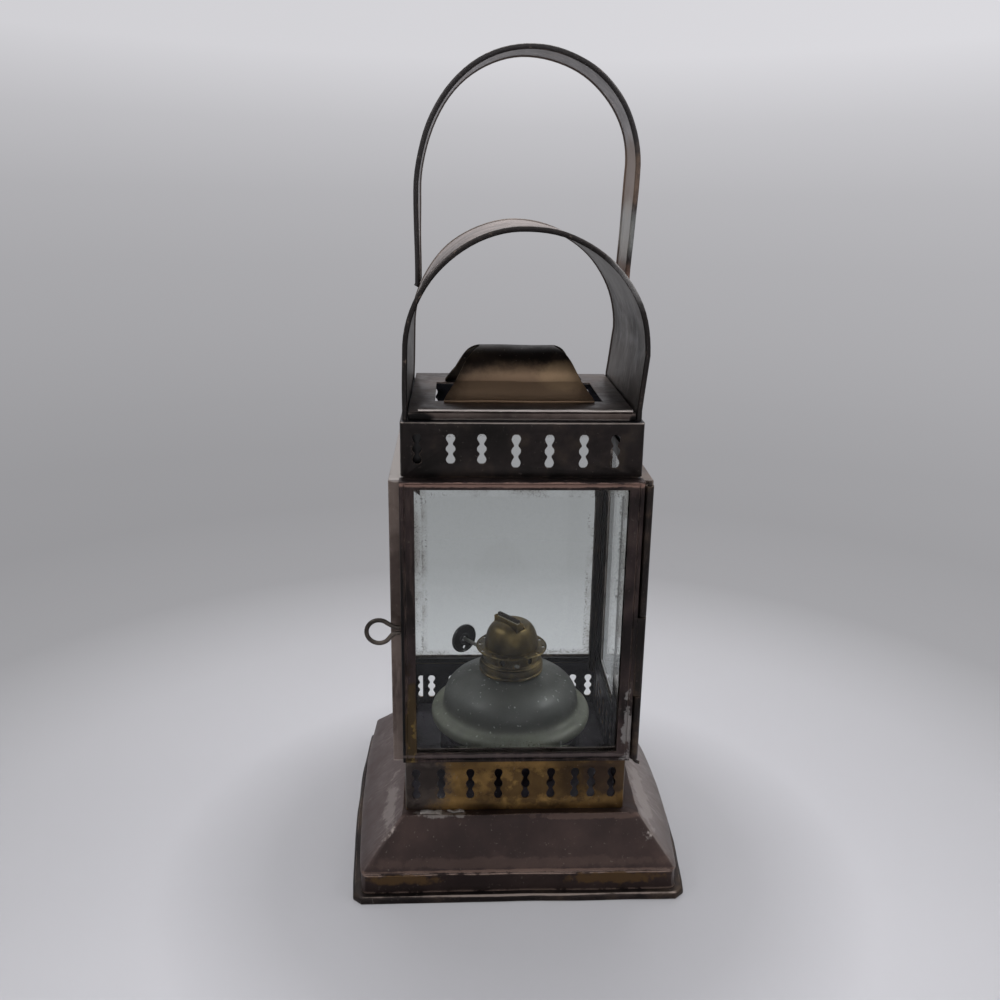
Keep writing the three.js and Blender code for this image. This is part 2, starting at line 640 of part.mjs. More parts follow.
// A teardrop loop whose two legs meet the door's left edge.
function doorPull() {
  const y = -(DOOR_BACK + DOOR_FRONT) / 2 - PULL_WIRE;
  const start = -DOOR_HALF - FIT / 3;
  const height = DOOR_FOOT + PULL_HEIGHT;
  const centre = -DOOR_HALF - PULL_LEG - PULL_LOOP;
  const legs = PULL_LEG_POINTS.map(
    (share) => [start - share * PULL_LEG, PULL_NECK * (1 + share * PULL_FLARE)],
  );
  const points = legs.map(([x, rise]) => new THREE.Vector2(x, height + rise));
  const mouth = THREE.MathUtils.degToRad(PULL_MOUTH_ANGLE);
  for (let i = 0; i <= PULL_LOOP_STEPS; i += 1) {
    const angle = mouth / 2 + (2 * Math.PI - mouth) * i / PULL_LOOP_STEPS;
    const rise = PULL_LOOP * Math.sin(angle) - PULL_TILT;
    points.push(new THREE.Vector2(centre + PULL_LOOP * Math.cos(angle), height + rise));
  }
  points.push(...legs.reverse().map(([x, rise]) => new THREE.Vector2(x, height - rise)));
  const path = new THREE.SplineCurve(points).getPoints(PULL_POINTS).map((p) => [p.x, p.y]);
  return wire(path, y, PULL_WIRE);
}

// The roof is a shallow tray turned over, with a hole for the hot air under the hood.
function roofPlate() {
  const shell = block(-ROOF_HALF_X, ROOF_HALF_X, -ROOF_HALF_Y, ROOF_HALF_Y, UPPER_BAND_TOP, ROOF_TOP);
  const [x, y] = [ROOF_HALF_X - SHEET, ROOF_HALF_Y - SHEET];
  const below = UPPER_BAND_TOP - SHEET;
  const hollow = block(-x, x, -y, y, below, ROOF_TOP - SHEET);
  const vent = block(-VENT_HALF_X, VENT_HALF_X, -VENT_HALF_Y, VENT_HALF_Y, below, ROOF_TOP + SHEET);
  return cut(shell, hollow, vent);
}

// A bridge of sheet bent from front to back over the vent hole, open at both ends and narrower at its top.
function ventHood() {
  const flat = ROOF_TOP + SHEET;
  const crease = ROOF_TOP + HOOD_CREASE_RISE;
  const creaseY = HOOD_FOOT_Y - HOOD_LEAN;
  const half = [
    [HOOD_FOOT_Y + HOOD_FLANGE, flat, HOOD_FOOT_HALF], [HOOD_FOOT_Y, flat, HOOD_FOOT_HALF],
    [creaseY, crease, HOOD_CREASE_HALF],
  ];
  const start = THREE.MathUtils.degToRad(HOOD_CREASE_ANGLE);
  for (let i = 1; i <= HOOD_STEPS; i += 1) {
    const angle = start + (Math.PI / 2 - start) * i / HOOD_STEPS;
    const share = (Math.sin(angle) - Math.sin(start)) / (1 - Math.sin(start));
    half.push([
      creaseY * Math.cos(angle) / Math.cos(start),
      crease + (HOOD_RISE - HOOD_CREASE_RISE) * share,
      HOOD_CREASE_HALF - HOOD_TAPER * share - HOOD_ROUNDING * share ** HOOD_ROUNDING_POWER,
    ]);
  }
  const path = [...half.map(([y, z, w]) => [-y, z, w]), ...half.slice(0, -1).reverse()];
  const out = sideways(path);
  const rows = path.map(([y, z, w], i) => {
    const inner = [y - out[i].x * SHEET, Math.max(z - out[i].y * SHEET, ROOF_TOP)];
    return [
      new THREE.Vector3(-w, y, z), new THREE.Vector3(w, y, z),
      new THREE.Vector3(w, ...inner), new THREE.Vector3(-w, ...inner),
    ];
  });
  return skin(rows, rows[0].map((p) => new THREE.Vector2(p.x, p.z)));
}

// The section of a strap with a rolled hem along both edges: [across, depth in from the outer face].
function hemmedSection(half) {
  const edge = HEM_OUTLINE.map(([across, proud]) => [-half + HEM_WIDTH * across, -HEM_PROUD * proud]);
  const outer = [...edge, ...edge.map(([y, depth]) => [-y, depth]).reverse()];
  const inner = outer.map(([y, depth]) => [y, SHEET - depth]).reverse();
  return [...outer, ...inner];
}

// A strap bent along a path of [x, z] points that runs from left to right over the top.
function hemmedStrap(path, half) {
  const section = hemmedSection(half);
  const out = sideways(path);
  const rows = path.map(([x, z], i) => section.map(
    ([y, depth]) => new THREE.Vector3(x - out[i].x * depth, y, z - out[i].y * depth),
  ));
  return skin(rows, section.map(([y, depth]) => new THREE.Vector2(y, depth)));
}

// The canopy's feet stand on the upper band's lip, beside the roof. Its vault leans a little to the right.
function canopy() {
  const knee = UPPER_BAND_TOP + CANOPY_FOOT_RISE;
  const left = [[-CANOPY_FOOT_HALF, UPPER_BAND_TOP], [-CANOPY_FOOT_HALF, knee]];
  const right = left.map(([x, z]) => [-x, z]).reverse();
  const vault = Array.from({ length: ARCH_STEPS + 1 }, (_, i) => {
    const angle = Math.PI * (1 - i / ARCH_STEPS);
    return [CANOPY_SHIFT + CANOPY_RADIUS * Math.cos(angle), CANOPY_CENTRE + CANOPY_RADIUS * Math.sin(angle)];
  });
  return hemmedStrap([...left, ...vault, ...right], ROOF_HALF_Y);
}

// Where one of the handle's legs meets the canopy at a given x, with its foot laid down along the shoulder.
function handleFoot(x) {
  const radius = CANOPY_RADIUS + FIT + SHEET + 2 * HEM_PROUD;
  const across = x - CANOPY_SHIFT;
  const meet = Math.acos(Math.abs(across) / radius);
  return [1, 0.5, 0].map((part) => {
    const angle = meet - part * HANDLE_FOOT / radius;
    const reach = Math.sign(across) * radius * Math.cos(angle);
    return [CANOPY_SHIFT + reach, CANOPY_CENTRE + radius * Math.sin(angle)];
  });
}

// The handle is bent by hand: its bow falls lower on the left, and its right leg leans in.
function handle() {
  const bow = Array.from({ length: ARCH_STEPS + 1 }, (_, i) => {
    const angle = Math.PI * (1 - i / ARCH_STEPS);
    const fall = 2 * i < ARCH_STEPS ? HANDLE_FALL_LEFT : HANDLE_FALL_RIGHT;
    return [HANDLE_SHIFT + HANDLE_RADIUS * Math.cos(angle), HANDLE_TOP - fall * (1 - Math.sin(angle))];
  });
  const path = [...handleFoot(HANDLE_LEG_LEFT), ...bow, ...handleFoot(HANDLE_LEG_RIGHT).reverse()];
  return hemmedStrap(path, HANDLE_HALF_WIDTH);
}

function fountCup() {
  return turned([
    [0, FLOOR_TOP], [CUP_RADIUS, FLOOR_TOP], [CUP_RADIUS, CUP_TOP], [CUP_RADIUS - SHEET, CUP_TOP],
    [CUP_RADIUS - SHEET, FOUNT_FOOT], [0, FOUNT_FOOT],
  ]);
}

// The outline of a dome from its foot inwards to a stated radius, a little fuller than round.
function domeOutline(radius, foot, rise, stop, steps, fullness) {
  const points = [];
  for (let i = 0; i < steps; i += 1) {
    const angle = (i / steps) * Math.PI / 2;
    points.push([radius * Math.cos(angle) ** fullness, foot + rise * Math.sin(angle)]);
  }
  return points.filter(([r]) => r > stop);
}

// The fount is a squat hollow glass: a drum in the cup, a swelling brim and a low domed crown with a neck.
function fountGlass() {
  const under = CUP_TOP + FIT;
  const foot = FOUNT_FOOT + GLASS_WALL;
  const drum = FOUNT_RADIUS - GLASS_WALL;
  const crown = (inset, steps) => domeOutline(
    FOUNT_RADIUS - inset, CROWN_FOOT, CROWN_HEIGHT - inset, NECK_RADIUS, steps, DOME_FULLNESS,
  );
  const brim = (outline, inset) => outline.map(
    ([inward, up]) => [BRIM_RADIUS - inset - inward, BRIM_MIDDLE + up],
  );
  return turned([
    [0, FOUNT_FOOT], [FOUNT_RADIUS - FIT, FOUNT_FOOT], [FOUNT_RADIUS, FOUNT_FOOT + FIT],
    [FOUNT_RADIUS, under],
    ...brim(BRIM_OUTLINE, 0), [FOUNT_RADIUS + FIT, CROWN_FOOT - WAIST_DROP],
    ...crown(0, DOME_STEPS), [NECK_RADIUS, CROWN_TOP], [NECK_RADIUS, NECK_TOP],
    [NECK_BORE, NECK_TOP], [NECK_BORE, CROWN_TOP - GLASS_WALL],
    ...crown(GLASS_WALL, DOME_STEPS - 1).reverse(),
    ...brim(BRIM_HOLLOW, GLASS_WALL), [drum, under], [drum, foot], [0, foot],
  ]);
}

function fountCollar() {
  return ring(NECK_RADIUS + FIT, COLLAR_RADIUS, COLLAR_FOOT, COLLAR_FOOT + COLLAR_HEIGHT);
}

// The burner's own frame: X runs along the spindle towards the knob.
const burner = new THREE.Group();
burner.rotation.z = THREE.MathUtils.degToRad(SPINDLE_AZIMUTH);
lantern.add(burner);

// A round bar along X.
function barAlongX(radius, from, to, sides = BAR_SIDES) {
  const bar = new THREE.CylinderGeometry(radius, radius, to - from, sides);
  return bar.rotateZ(Math.PI / 2).translate((from + to) / 2, SPINDLE_OFFSET, SPINDLE_HEIGHT);
}

// Upright round cutters, evenly spaced on a circle.
function roundHoles(count, place, radius, low, high) {
  return Array.from({ length: count }, (_, i) => {
    const angle = ((i + 0.5) / count) * 2 * Math.PI;
    const hole = new THREE.CylinderGeometry(radius, radius, high - low, SMALL_HOLE_SIDES);
    hole.rotateX(Math.PI / 2);
    return hole.translate(place * Math.cos(angle), place * Math.sin(angle), (low + high) / 2);
  });
}

// The burner body screws into the collar. Its drum has air holes and lets the spindle through.
function burnerBody() {
  const foot = NECK_TOP + FIT;
  const wall = DRUM_RADIUS - BURNER_SHEET;
  const flange = COLLAR_RADIUS - BURNER_SHEET;
  const level = DRUM_FOOT + BURNER_SHEET;
  const body = turned([
    [BURNER_BORE, foot], [NECK_RADIUS, foot], [NECK_RADIUS, DRUM_FOOT], [flange, DRUM_FOOT],
    [flange, level], [DRUM_RADIUS, level], [DRUM_RADIUS, DRUM_TOP],
    [wall, DRUM_TOP], [wall, level], [BURNER_BORE, level], [BURNER_BORE, foot],
  ]);
  const middle = (level + DRUM_TOP) / 2;
  const inlets = Array.from({ length: DRUM_HOLES / 2 }, (_, i) => {
    const hole = new THREE.CylinderGeometry(DRUM_HOLE_RADIUS, DRUM_HOLE_RADIUS, 3 * DRUM_RADIUS, HOLE_SIDES);
    return hole.rotateZ(Math.PI / 2).rotateZ(2 * Math.PI * i / DRUM_HOLES).translate(0, 0, middle);
  });
  return cut(body, barAlongX(SPINDLE_RADIUS + FIT, -2 * DRUM_RADIUS, 2 * DRUM_RADIUS), ...inlets);
}

// An upright slab round the wick's middle.
function wickSlab(width, thickness, low, high) {
  return block(-width / 2, width / 2, WICK_PLACE - thickness / 2, WICK_PLACE + thickness / 2, low, high);
}

// A disc that closes the drum round the wick tube, with small holes that let air up into the cone.
function airGallery() {
  const plate = turned([
    [0, DRUM_TOP], [GALLERY_RADIUS, DRUM_TOP], [GALLERY_RADIUS, GALLERY_TOP], [0, GALLERY_TOP],
  ]);
  const [low, high] = [DRUM_TOP - BURNER_SHEET, GALLERY_TOP + BURNER_SHEET];
  const slot = wickSlab(TUBE_WIDTH + 2 * FIT, TUBE_THICKNESS + 2 * FIT, low, high);
  const inside = CONE_RADIUS - 2 * BURNER_SHEET - AIR_HOLE_RADIUS;
  const outside = (DRUM_RADIUS + GALLERY_RADIUS) / 2;
  return cut(
    plate, slot, ...roundHoles(AIR_HOLES, inside, AIR_HOLE_RADIUS, low, high),
    ...roundHoles(AIR_HOLES, outside, RIM_HOLE_RADIUS, low, high),
  );
}

// The cone draws the air to the flame, which stands in its slot.
function flameCone() {
  const outline = (inset) => [
    ...domeOutline(CONE_RADIUS - inset, GALLERY_TOP, CONE_HEIGHT - inset, 0, CONE_STEPS, CONE_FULLNESS),
    [0, CONE_TOP - inset],
  ];
  const shell = turned([...outline(BURNER_SHEET).reverse(), ...outline(0)], CONE_SIDES);
  const slot = wickSlab(
    TUBE_WIDTH + 2 * FIT, TUBE_THICKNESS + 4 * FIT, GALLERY_TOP + CONE_HEIGHT / 2, CONE_TOP + BURNER_SHEET,
  );
  return cut(shell, slot);
}

// A flat tube guides the wick. Two windows let the toothed wheels reach it.
function wickTube() {
  const bore = wickSlab(
    TUBE_WIDTH - 2 * BURNER_SHEET, TUBE_THICKNESS - 2 * BURNER_SHEET, TUBE_FOOT - FIT, TUBE_TOP + FIT,
  );
  const half = SPROCKET_WIDTH / 2 + FIT;
  const reach = SPROCKET_RADIUS + FIT;
  const windows = [-SPROCKET_PLACE, SPROCKET_PLACE].map((middle) => block(
    middle - half, middle + half, WICK_PLACE, SPINDLE_OFFSET, SPINDLE_HEIGHT - reach, SPINDLE_HEIGHT + reach,
  ));
  return cut(wickSlab(TUBE_WIDTH, TUBE_THICKNESS, TUBE_FOOT, TUBE_TOP), bore, ...windows);
}

function wick() {
  const top = TUBE_TOP + WICK_ABOVE;
  return wickSlab(WICK_WIDTH, WICK_THICKNESS, top - WICK_LENGTH, top);
}

// The spindle carries two toothed wheels that bite the wick.
function wickSpindle() {
  const outline = new THREE.Shape(Array.from({ length: 2 * SPROCKET_TEETH }, (_, i) => {
    const angle = (i / SPROCKET_TEETH) * Math.PI;
    const reach = i % 2 === 0 ? SPROCKET_RADIUS : SPROCKET_RADIUS - SPROCKET_TOOTH;
    return new THREE.Vector2(reach * Math.cos(angle), reach * Math.sin(angle));
  }));
  const wheels = [-1, 1].map((sign) => {
    const wheel = new THREE.ExtrudeGeometry(outline, { depth: SPROCKET_WIDTH, bevelEnabled: false });
    wheel.rotateY(Math.PI / 2);
    return wheel.translate(sign * SPROCKET_PLACE - SPROCKET_WIDTH / 2, SPINDLE_OFFSET, SPINDLE_HEIGHT);
  });
  const tail = Math.sqrt(DRUM_RADIUS ** 2 - SPINDLE_OFFSET ** 2) + 2 * FIT;
  return join(barAlongX(SPINDLE_RADIUS, -tail, KNOB_DISTANCE + KNOB_THICKNESS), ...wheels);
}

// The knob is a flat disc with a small hole near its lower rim.
function wickKnob() {
  const disc = barAlongX(KNOB_RADIUS, KNOB_DISTANCE, KNOB_DISTANCE + KNOB_THICKNESS, KNOB_SIDES);
  const bore = barAlongX(SPINDLE_RADIUS + FIT, 0, 2 * KNOB_DISTANCE);
  const eye = barAlongX(KNOB_HOLE_RADIUS, 0, 2 * KNOB_DISTANCE, HOLE_SIDES).translate(0, 0, -KNOB_HOLE_PLACE);
  return cut(disc, bore, eye);
}

addPart('base_rim', baseRim(), darkBrass);
addPart('base_skirt', baseSkirt(), purpleBrass);
addPart('floor_plate', floorPlate(), darkBrass);
addPart('lower_vent_band', lowerBand(), goldBrass);
addPart('upper_vent_band', upperBand(), darkBrass);
for (const [name, signX, signY] of [
  ['front_left', -1, -1], ['front_right', 1, -1], ['back_left', -1, 1], ['back_right', 1, 1],
]) {
  addPart(`${name}_post`, cornerPost(signX, signY), darkBrass);
}
for (const [name, wall] of [['door', FRONT_WALL], ['left', LEFT_WALL], ['right', RIGHT_WALL]]) {
  addPart(`${name}_header`, header(wall), darkBrass);
}
addFixedPanes();

addPart('door_frame', channelFrame(DOOR_HALF, DOOR_FOOT, DOOR_HEAD, DOOR_BACK, DOOR_RAILS), darkBrass);
addPart('door_glass', bevelledPane(DOOR_HALF, DOOR_FOOT, DOOR_HEAD, DOOR_BACK, DOOR_RAILS), clearGlass);
addPart('door_pull', doorPull(), wireSteel);
const [lowBreak, highBreak] = LEAF_BREAKS.map((rise) => DOOR_FOOT + rise);
addPart('lower_body_leaf', bodyLeaf(DOOR_FOOT + LEAF_FOOT_GAP, lowBreak - FIT / 2), darkBrass);
addPart('door_leaf', doorLeaf(lowBreak + FIT / 2, highBreak - FIT / 2), darkBrass);
addPart('upper_body_leaf', bodyLeaf(highBreak + FIT / 2, DOOR_HEAD - LEAF_HEAD_GAP), darkBrass);
addPart('hinge_pin', hingePin(), wireSteel);

addPart('roof_plate', roofPlate(), greyBrass);
addPart('vent_hood', ventHood(), goldBrass);
addPart('canopy', canopy(), greyBrass);
addPart('handle', handle(), greyBrass);

addPart('fount_cup', fountCup(), darkBrass);
addPart('fount_glass', fountGlass(), agedGlass);
addPart('fount_collar', fountCollar(), burnerBrass);
addPart('burner_body', burnerBody(), burnerBrass, burner);
addPart('air_gallery', airGallery(), burnerBrass, burner);
addPart('flame_cone', flameCone(), burnerBrass, burner);
addPart('wick_tube', wickTube(), burnerBrass, burner);
addPart('wick', wick(), feltWick, burner);
addPart('wick_spindle', wickSpindle(), wireSteel, burner);
addPart('wick_knob', wickKnob(), blackenedSteel, burner);

export default lantern;
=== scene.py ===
"""Looks of a small square kerosene lantern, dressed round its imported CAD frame.

The lantern is patinated brass sheet: a stepped and hipped base, a glazed square body with a door, punched
air slots, a roof with a vent hood, a vaulted canopy, a strap handle, and a glass fount with a flat-wick
burner. Sizes are written in millimetres, as on the CAD part, and turned to metres where a mesh is made.
"""

from __future__ import annotations

import logging
import math
from collections.abc import Callable, Iterator, Sequence
from contextlib import contextmanager
from dataclasses import dataclass
from enum import Enum
from itertools import pairwise
from typing import ClassVar

import bmesh
import bpy
from mathutils import Matrix, Vector

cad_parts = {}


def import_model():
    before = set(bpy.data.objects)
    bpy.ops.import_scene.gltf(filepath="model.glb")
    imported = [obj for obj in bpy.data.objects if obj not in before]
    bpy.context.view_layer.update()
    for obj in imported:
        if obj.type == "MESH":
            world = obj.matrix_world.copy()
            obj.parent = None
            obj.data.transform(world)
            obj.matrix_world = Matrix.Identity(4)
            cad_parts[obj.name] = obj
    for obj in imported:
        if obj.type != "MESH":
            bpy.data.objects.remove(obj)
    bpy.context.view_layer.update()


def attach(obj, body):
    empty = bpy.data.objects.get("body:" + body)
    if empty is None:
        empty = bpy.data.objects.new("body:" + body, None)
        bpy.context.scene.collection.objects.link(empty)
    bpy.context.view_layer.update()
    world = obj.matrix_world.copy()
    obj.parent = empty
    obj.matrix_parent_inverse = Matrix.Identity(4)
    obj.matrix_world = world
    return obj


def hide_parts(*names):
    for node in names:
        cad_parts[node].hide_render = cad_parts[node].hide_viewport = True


MM = 0.001
WELD = 0.01 * MM
SHEET = 0.8
FLAT_WITHIN = math.radians(0.5)
LOG = logging.getLogger("lantern")

Point = tuple[float, float]
Place = tuple[float, float, float]
Test = Callable[[Vector], bool]


class Body(Enum):
    """The CAD bodies that a piece can ride on."""

    HOUSING = "housing"
    DOOR = "door"
    SHAFT = "wick_shaft"
    WICK = "wick_strip"


# Selecting and shaping by hand


def deselect() -> None:
    """Leaves edit mode and deselects every object."""
    active = bpy.context.view_layer.objects.active
    if active is not None and active.mode != "OBJECT":
        bpy.ops.object.mode_set(mode="OBJECT")
    bpy.ops.object.select_all(action="DESELECT")


def activate(piece: bpy.types.Object) -> None:
    """Makes a piece the only selected object.

    Args:
        piece: The piece.
    """
    deselect()
    piece.select_set(True)
    bpy.context.view_layer.objects.active = piece


@contextmanager
def editing(piece: bpy.types.Object) -> Iterator[None]:
    """Opens a piece in edit mode, all its corners selected, and closes it after the block.

    Args:
        piece: The piece.

    Yields:
        Nothing. The block works on the open mesh.
    """
    activate(piece)
    bpy.ops.object.mode_set(mode="EDIT")
    bpy.ops.mesh.select_mode(type="VERT")
    bpy.ops.mesh.select_all(action="SELECT")
    yield
    bpy.ops.object.mode_set(mode="OBJECT")


def pick(test: Test) -> None:
    """Selects the shown corners of the mesh in edit mode that pass a test, and no others.

    Args:
        test: Says of a place in metres whether its corner is wanted.
    """
    mesh = bpy.context.edit_object.data
    shape = bmesh.from_edit_mesh(mesh)
    for corner in shape.verts:
        corner.select = not corner.hide and test(corner.co)
    shape.select_flush_mode()
    bmesh.update_edit_mesh(mesh)


def pick_edges(test: Callable[[bmesh.types.BMEdge], bool]) -> None:
    """Selects the edges of the mesh in edit mode that pass a test, and no others.

    Args:
        test: Says of an edge whether it is wanted.
    """
    bpy.ops.mesh.select_mode(type="EDGE")
    bpy.ops.mesh.select_all(action="DESELECT")
    mesh = bpy.context.edit_object.data
    shape = bmesh.from_edit_mesh(mesh)
    for edge in shape.edges:
        edge.select = test(edge)
    bmesh.update_edit_mesh(mesh)


def started(name: str) -> bpy.types.Object:
    """Names the primitive just added, and moves its place from the object into the mesh.

    Args:
        name: The piece's name.

    Returns:
        The piece.
    """
    piece = bpy.context.active_object
    activate(piece)
    bpy.ops.object.transform_apply(location=True, rotation=True, scale=True)
    piece.name = name
    piece.data.name = name
    return piece


def turn_selection(angle: float, axis: str, centre: Vector) -> None:
    """Turns the selection by the right-hand rule about an axis through a centre.

    Args:
        angle: Radians. With no window the operator turns the other way, so its sign is changed here.
        axis: X, Y or Z.
        centre: A point on the axis, in metres.
    """
    bpy.ops.transform.rotate(value=-angle, orient_axis=axis, center_override=tuple(centre))


def apply(piece: bpy.types.Object, kind: str, **settings: object) -> None:
    """Adds a modifier with its settings and applies it.

    Args:
        piece: The piece.
        kind: The modifier's type.
        **settings: Its settings.
    """
    activate(piece)
    modifier = piece.modifiers.new(kind.title(), kind)
    for name, value in settings.items():
        setattr(modifier, name, value)
    bpy.ops.object.modifier_apply(modifier=modifier.name)


def rounded(piece: bpy.types.Object, width: float, segments: int = 2, angle: float = 30.0) -> None:
    """Rounds the sharp edges of a piece and shades it smooth between them.

    Args:
        piece: The piece.
        width: Width of the rounding in millimetres.
        segments: Steps across it.
        angle: Edges sharper than this many degrees are rounded.
    """
    limit = math.radians(angle)
    apply(piece, "BEVEL", width=width * MM, segments=segments, limit_method="ANGLE", angle_limit=limit)
    smooth(piece)


def smooth(piece: bpy.types.Object, angle: float = 38.0) -> None:
    """Shades a piece smooth, but for edges sharper than an angle in degrees."""
    activate(piece)
    bpy.ops.object.shade_smooth_by_angle(angle=math.radians(angle))


def waver(piece: bpy.types.Object, amount: float, size: float) -> None:
    """Pushes the corners of a piece about by one slow noise, as handling has dented the sheet.

    Args:
        piece: A piece with a fine mesh.
        amount: Largest push in millimetres.
        size: Distance between dents in millimetres.
    """
    clouds = bpy.data.textures.new(f"dents_{piece.name}", "CLOUDS")
    clouds.cloud_type = "COLOR"
    clouds.noise_scale = size * MM
    clouds.noise_depth = 1
    apply(piece, "DISPLACE", texture=clouds, texture_coords="LOCAL", direction="RGB_TO_XYZ",
          strength=2 * amount * MM, mid_level=0.5)


def closed_up() -> None:
    """Merges doubled corners of the mesh in edit mode and turns its faces outwards."""
    bpy.ops.mesh.select_all(action="SELECT")
    bpy.ops.mesh.remove_doubles(threshold=WELD)
    bpy.ops.mesh.normals_make_consistent(inside=False)


def capped() -> None:
    """Closes the open ends of the mesh in edit mode."""
    bpy.ops.mesh.select_all(action="SELECT")
    bpy.ops.mesh.fill_holes(sides=0)


def chain(name: str, points: Sequence[Place]) -> bpy.types.Object:
    """Draws a line by extruding one corner from point to point.

    Args:
        name: The piece's name.
        points: Places in millimetres. A line whose last point is its first is closed.

    Returns:
        The piece, a line of edges.
    """
    places = [Vector(point) * MM for point in points]
    bpy.ops.mesh.primitive_plane_add(size=MM, location=places[0])
    piece = started(name)
    with editing(piece):
        bpy.ops.mesh.merge(type="CENTER")
        for before, after in pairwise(places):
            bpy.ops.mesh.extrude_vertices_move(TRANSFORM_OT_translate={"value": tuple(after - before)})
        bpy.ops.mesh.select_all(action="SELECT")
        bpy.ops.mesh.remove_doubles(threshold=WELD)
    return piece


def lathe(
    name: str, profile: Sequence[Place], centre: Place, axis: Place, steps: int = 64,
) -> bpy.types.Object:
    """Turns a line round an axis to a closed round piece.

    Args:
        name: The piece's name.
        profile: Places of the line in millimetres. It starts and ends on the axis, or is closed.
        centre: A point of the axis in millimetres.
        axis: Its direction.
        steps: Faces round the piece.

    Returns:
        The finished mesh, with its faces outwards.
    """
    piece = chain(name, profile)
    with editing(piece):
        bpy.ops.mesh.spin(steps=steps, angle=math.tau, center=tuple(Vector(centre) * MM), axis=axis)
        closed_up()
    return piece


def upright(name: str, profile: Sequence[Point], steps: int = 64) -> bpy.types.Object:
    """Turns a line of radius and height about the lantern's upright axis."""
    return lathe(name, [(radius, 0.0, height) for radius, height in profile], (0, 0, 0), (0, 0, 1), steps)


def heading(path: Sequence[Point]) -> list[float]:
    """The mean direction of a path at each of its points.

    Args:
        path: Points on a plane.

    Returns:
        The angle of each, from the first axis towards the second.
    """
    angles = []
    for i in range(len(path)):
        before = path[max(i - 1, 0)]
        after = path[min(i + 1, len(path) - 1)]
        angles.append(math.atan2(after[1] - before[1], after[0] - before[0]))
    return angles


def sweep(
    name: str, section: Sequence[Point], path: Sequence[Point], depth: float = 0.0,
) -> bpy.types.Object:
    """Extrudes a closed section along a path in an upright plane, turning it with the path.

    Args:
        name: The piece's name.
        section: Closed outline of (across, in) millimetres. Across is along Y, in is right of the run.
        path: (x, z) points in millimetres.
        depth: Y of the path in millimetres.

    Returns:
        The piece, with both ends closed.
    """
    angles = heading(path)
    x, z = path[0]
    right = (math.sin(angles[0]), -math.cos(angles[0]))
    outline = [
        (x + right[0] * inwards, depth + across, z + right[1] * inwards) for across, inwards in section
    ]
    piece = chain(name, [*outline, outline[0]])
    with editing(piece):
        for i in range(1, len(path)):
            step = Vector((path[i][0] - path[i - 1][0], 0.0, path[i][1] - path[i - 1][1])) * MM
            bpy.ops.mesh.extrude_region_move(TRANSFORM_OT_translate={"value": tuple(step)})
            turn = math.remainder(angles[i] - angles[i - 1], math.tau)
            turn_selection(-turn, "Y", Vector((path[i][0], depth, path[i][1])) * MM)
        capped()
        closed_up()
    return piece


def frame_of(name: str, rows: Sequence[tuple[float, float, float, float]]) -> bpy.types.Object:
    """Draws a mitred frame that faces -Y by carrying a rectangle along its section.

    Args:
        name: The piece's name.
        rows: (half width, foot, head, depth) of each rectangle in millimetres, the last as the first.

    Returns:
        The closed frame.
    """
    half, foot, head, depth = rows[0]
    middle = (0, depth * MM, (foot + head) / 2 * MM)
    bpy.ops.mesh.primitive_plane_add(size=1.0, location=middle, rotation=(math.pi / 2, 0, 0))
    piece = started(name)
    with editing(piece):
        bpy.ops.transform.resize(value=(2 * half * MM, 1, (head - foot) * MM), center_override=middle)
        bpy.ops.mesh.delete(type="ONLY_FACE")
        bpy.ops.mesh.select_all(action="SELECT")
        for before, after in pairwise(rows):
            rise = (after[1] + after[2] - before[1] - before[2]) / 2
            step = (0, (after[3] - before[3]) * MM, rise * MM)
            bpy.ops.mesh.extrude_region_move(TRANSFORM_OT_translate={"value": step})
            grown = (after[0] / before[0], 1, (after[2] - after[1]) / (before[2] - before[1]))
            middle = (0, after[3] * MM, (after[1] + after[2]) / 2 * MM)
            bpy.ops.transform.resize(value=grown, center_override=middle)
        closed_up()
    return piece


def ring_of(radius: float, sides: int) -> list[Point]:
    """The outline of a round section."""
    angles = [math.tau * i / sides for i in range(sides)]
    return [(radius * math.cos(a), radius * math.sin(a)) for a in angles]


def arc(centre: Point, radius: float, start: float, end: float, steps: int) -> list[Point]:
    """Points on an arc between two angles in degrees, both ends included."""
    angles = [math.radians(start + (end - start) * i / steps) for i in range(steps + 1)]
    return [(centre[0] + radius * math.cos(a), centre[1] + radius * math.sin(a)) for a in angles]


def dome(radius: float, foot: float, rise: float, fullness: float, turn: float, count: int) -> list[Point]:
    """Points up the outline of a dome, as (radius, height).

    Args:
        radius: Its radius at its foot.
        foot: Height of its foot.
        rise: How far its top is over its foot.
        fullness: Power of the cosine. The lower it is, the fuller the dome's shoulder.
        turn: Degrees from one point to the next.
        count: How many points there are.

    Returns:
        The points, from the foot up.
    """
    angles = [math.radians(turn * i) for i in range(count)]
    return [(radius * math.cos(a) ** fullness, foot + rise * math.sin(a)) for a in angles]


def eased(start: Point, end: Point, steps: int) -> list[Point]:
    """Points between two places, the first left out and the last included.

    Args:
        start: The first place.
        end: The last place.
        steps: How many points there are.

    Returns:
        The points in order.
    """
    return [
        (start[0] + (end[0] - start[0]) * i / steps, start[1] + (end[1] - start[1]) * i / steps)
        for i in range(1, steps + 1)
    ]


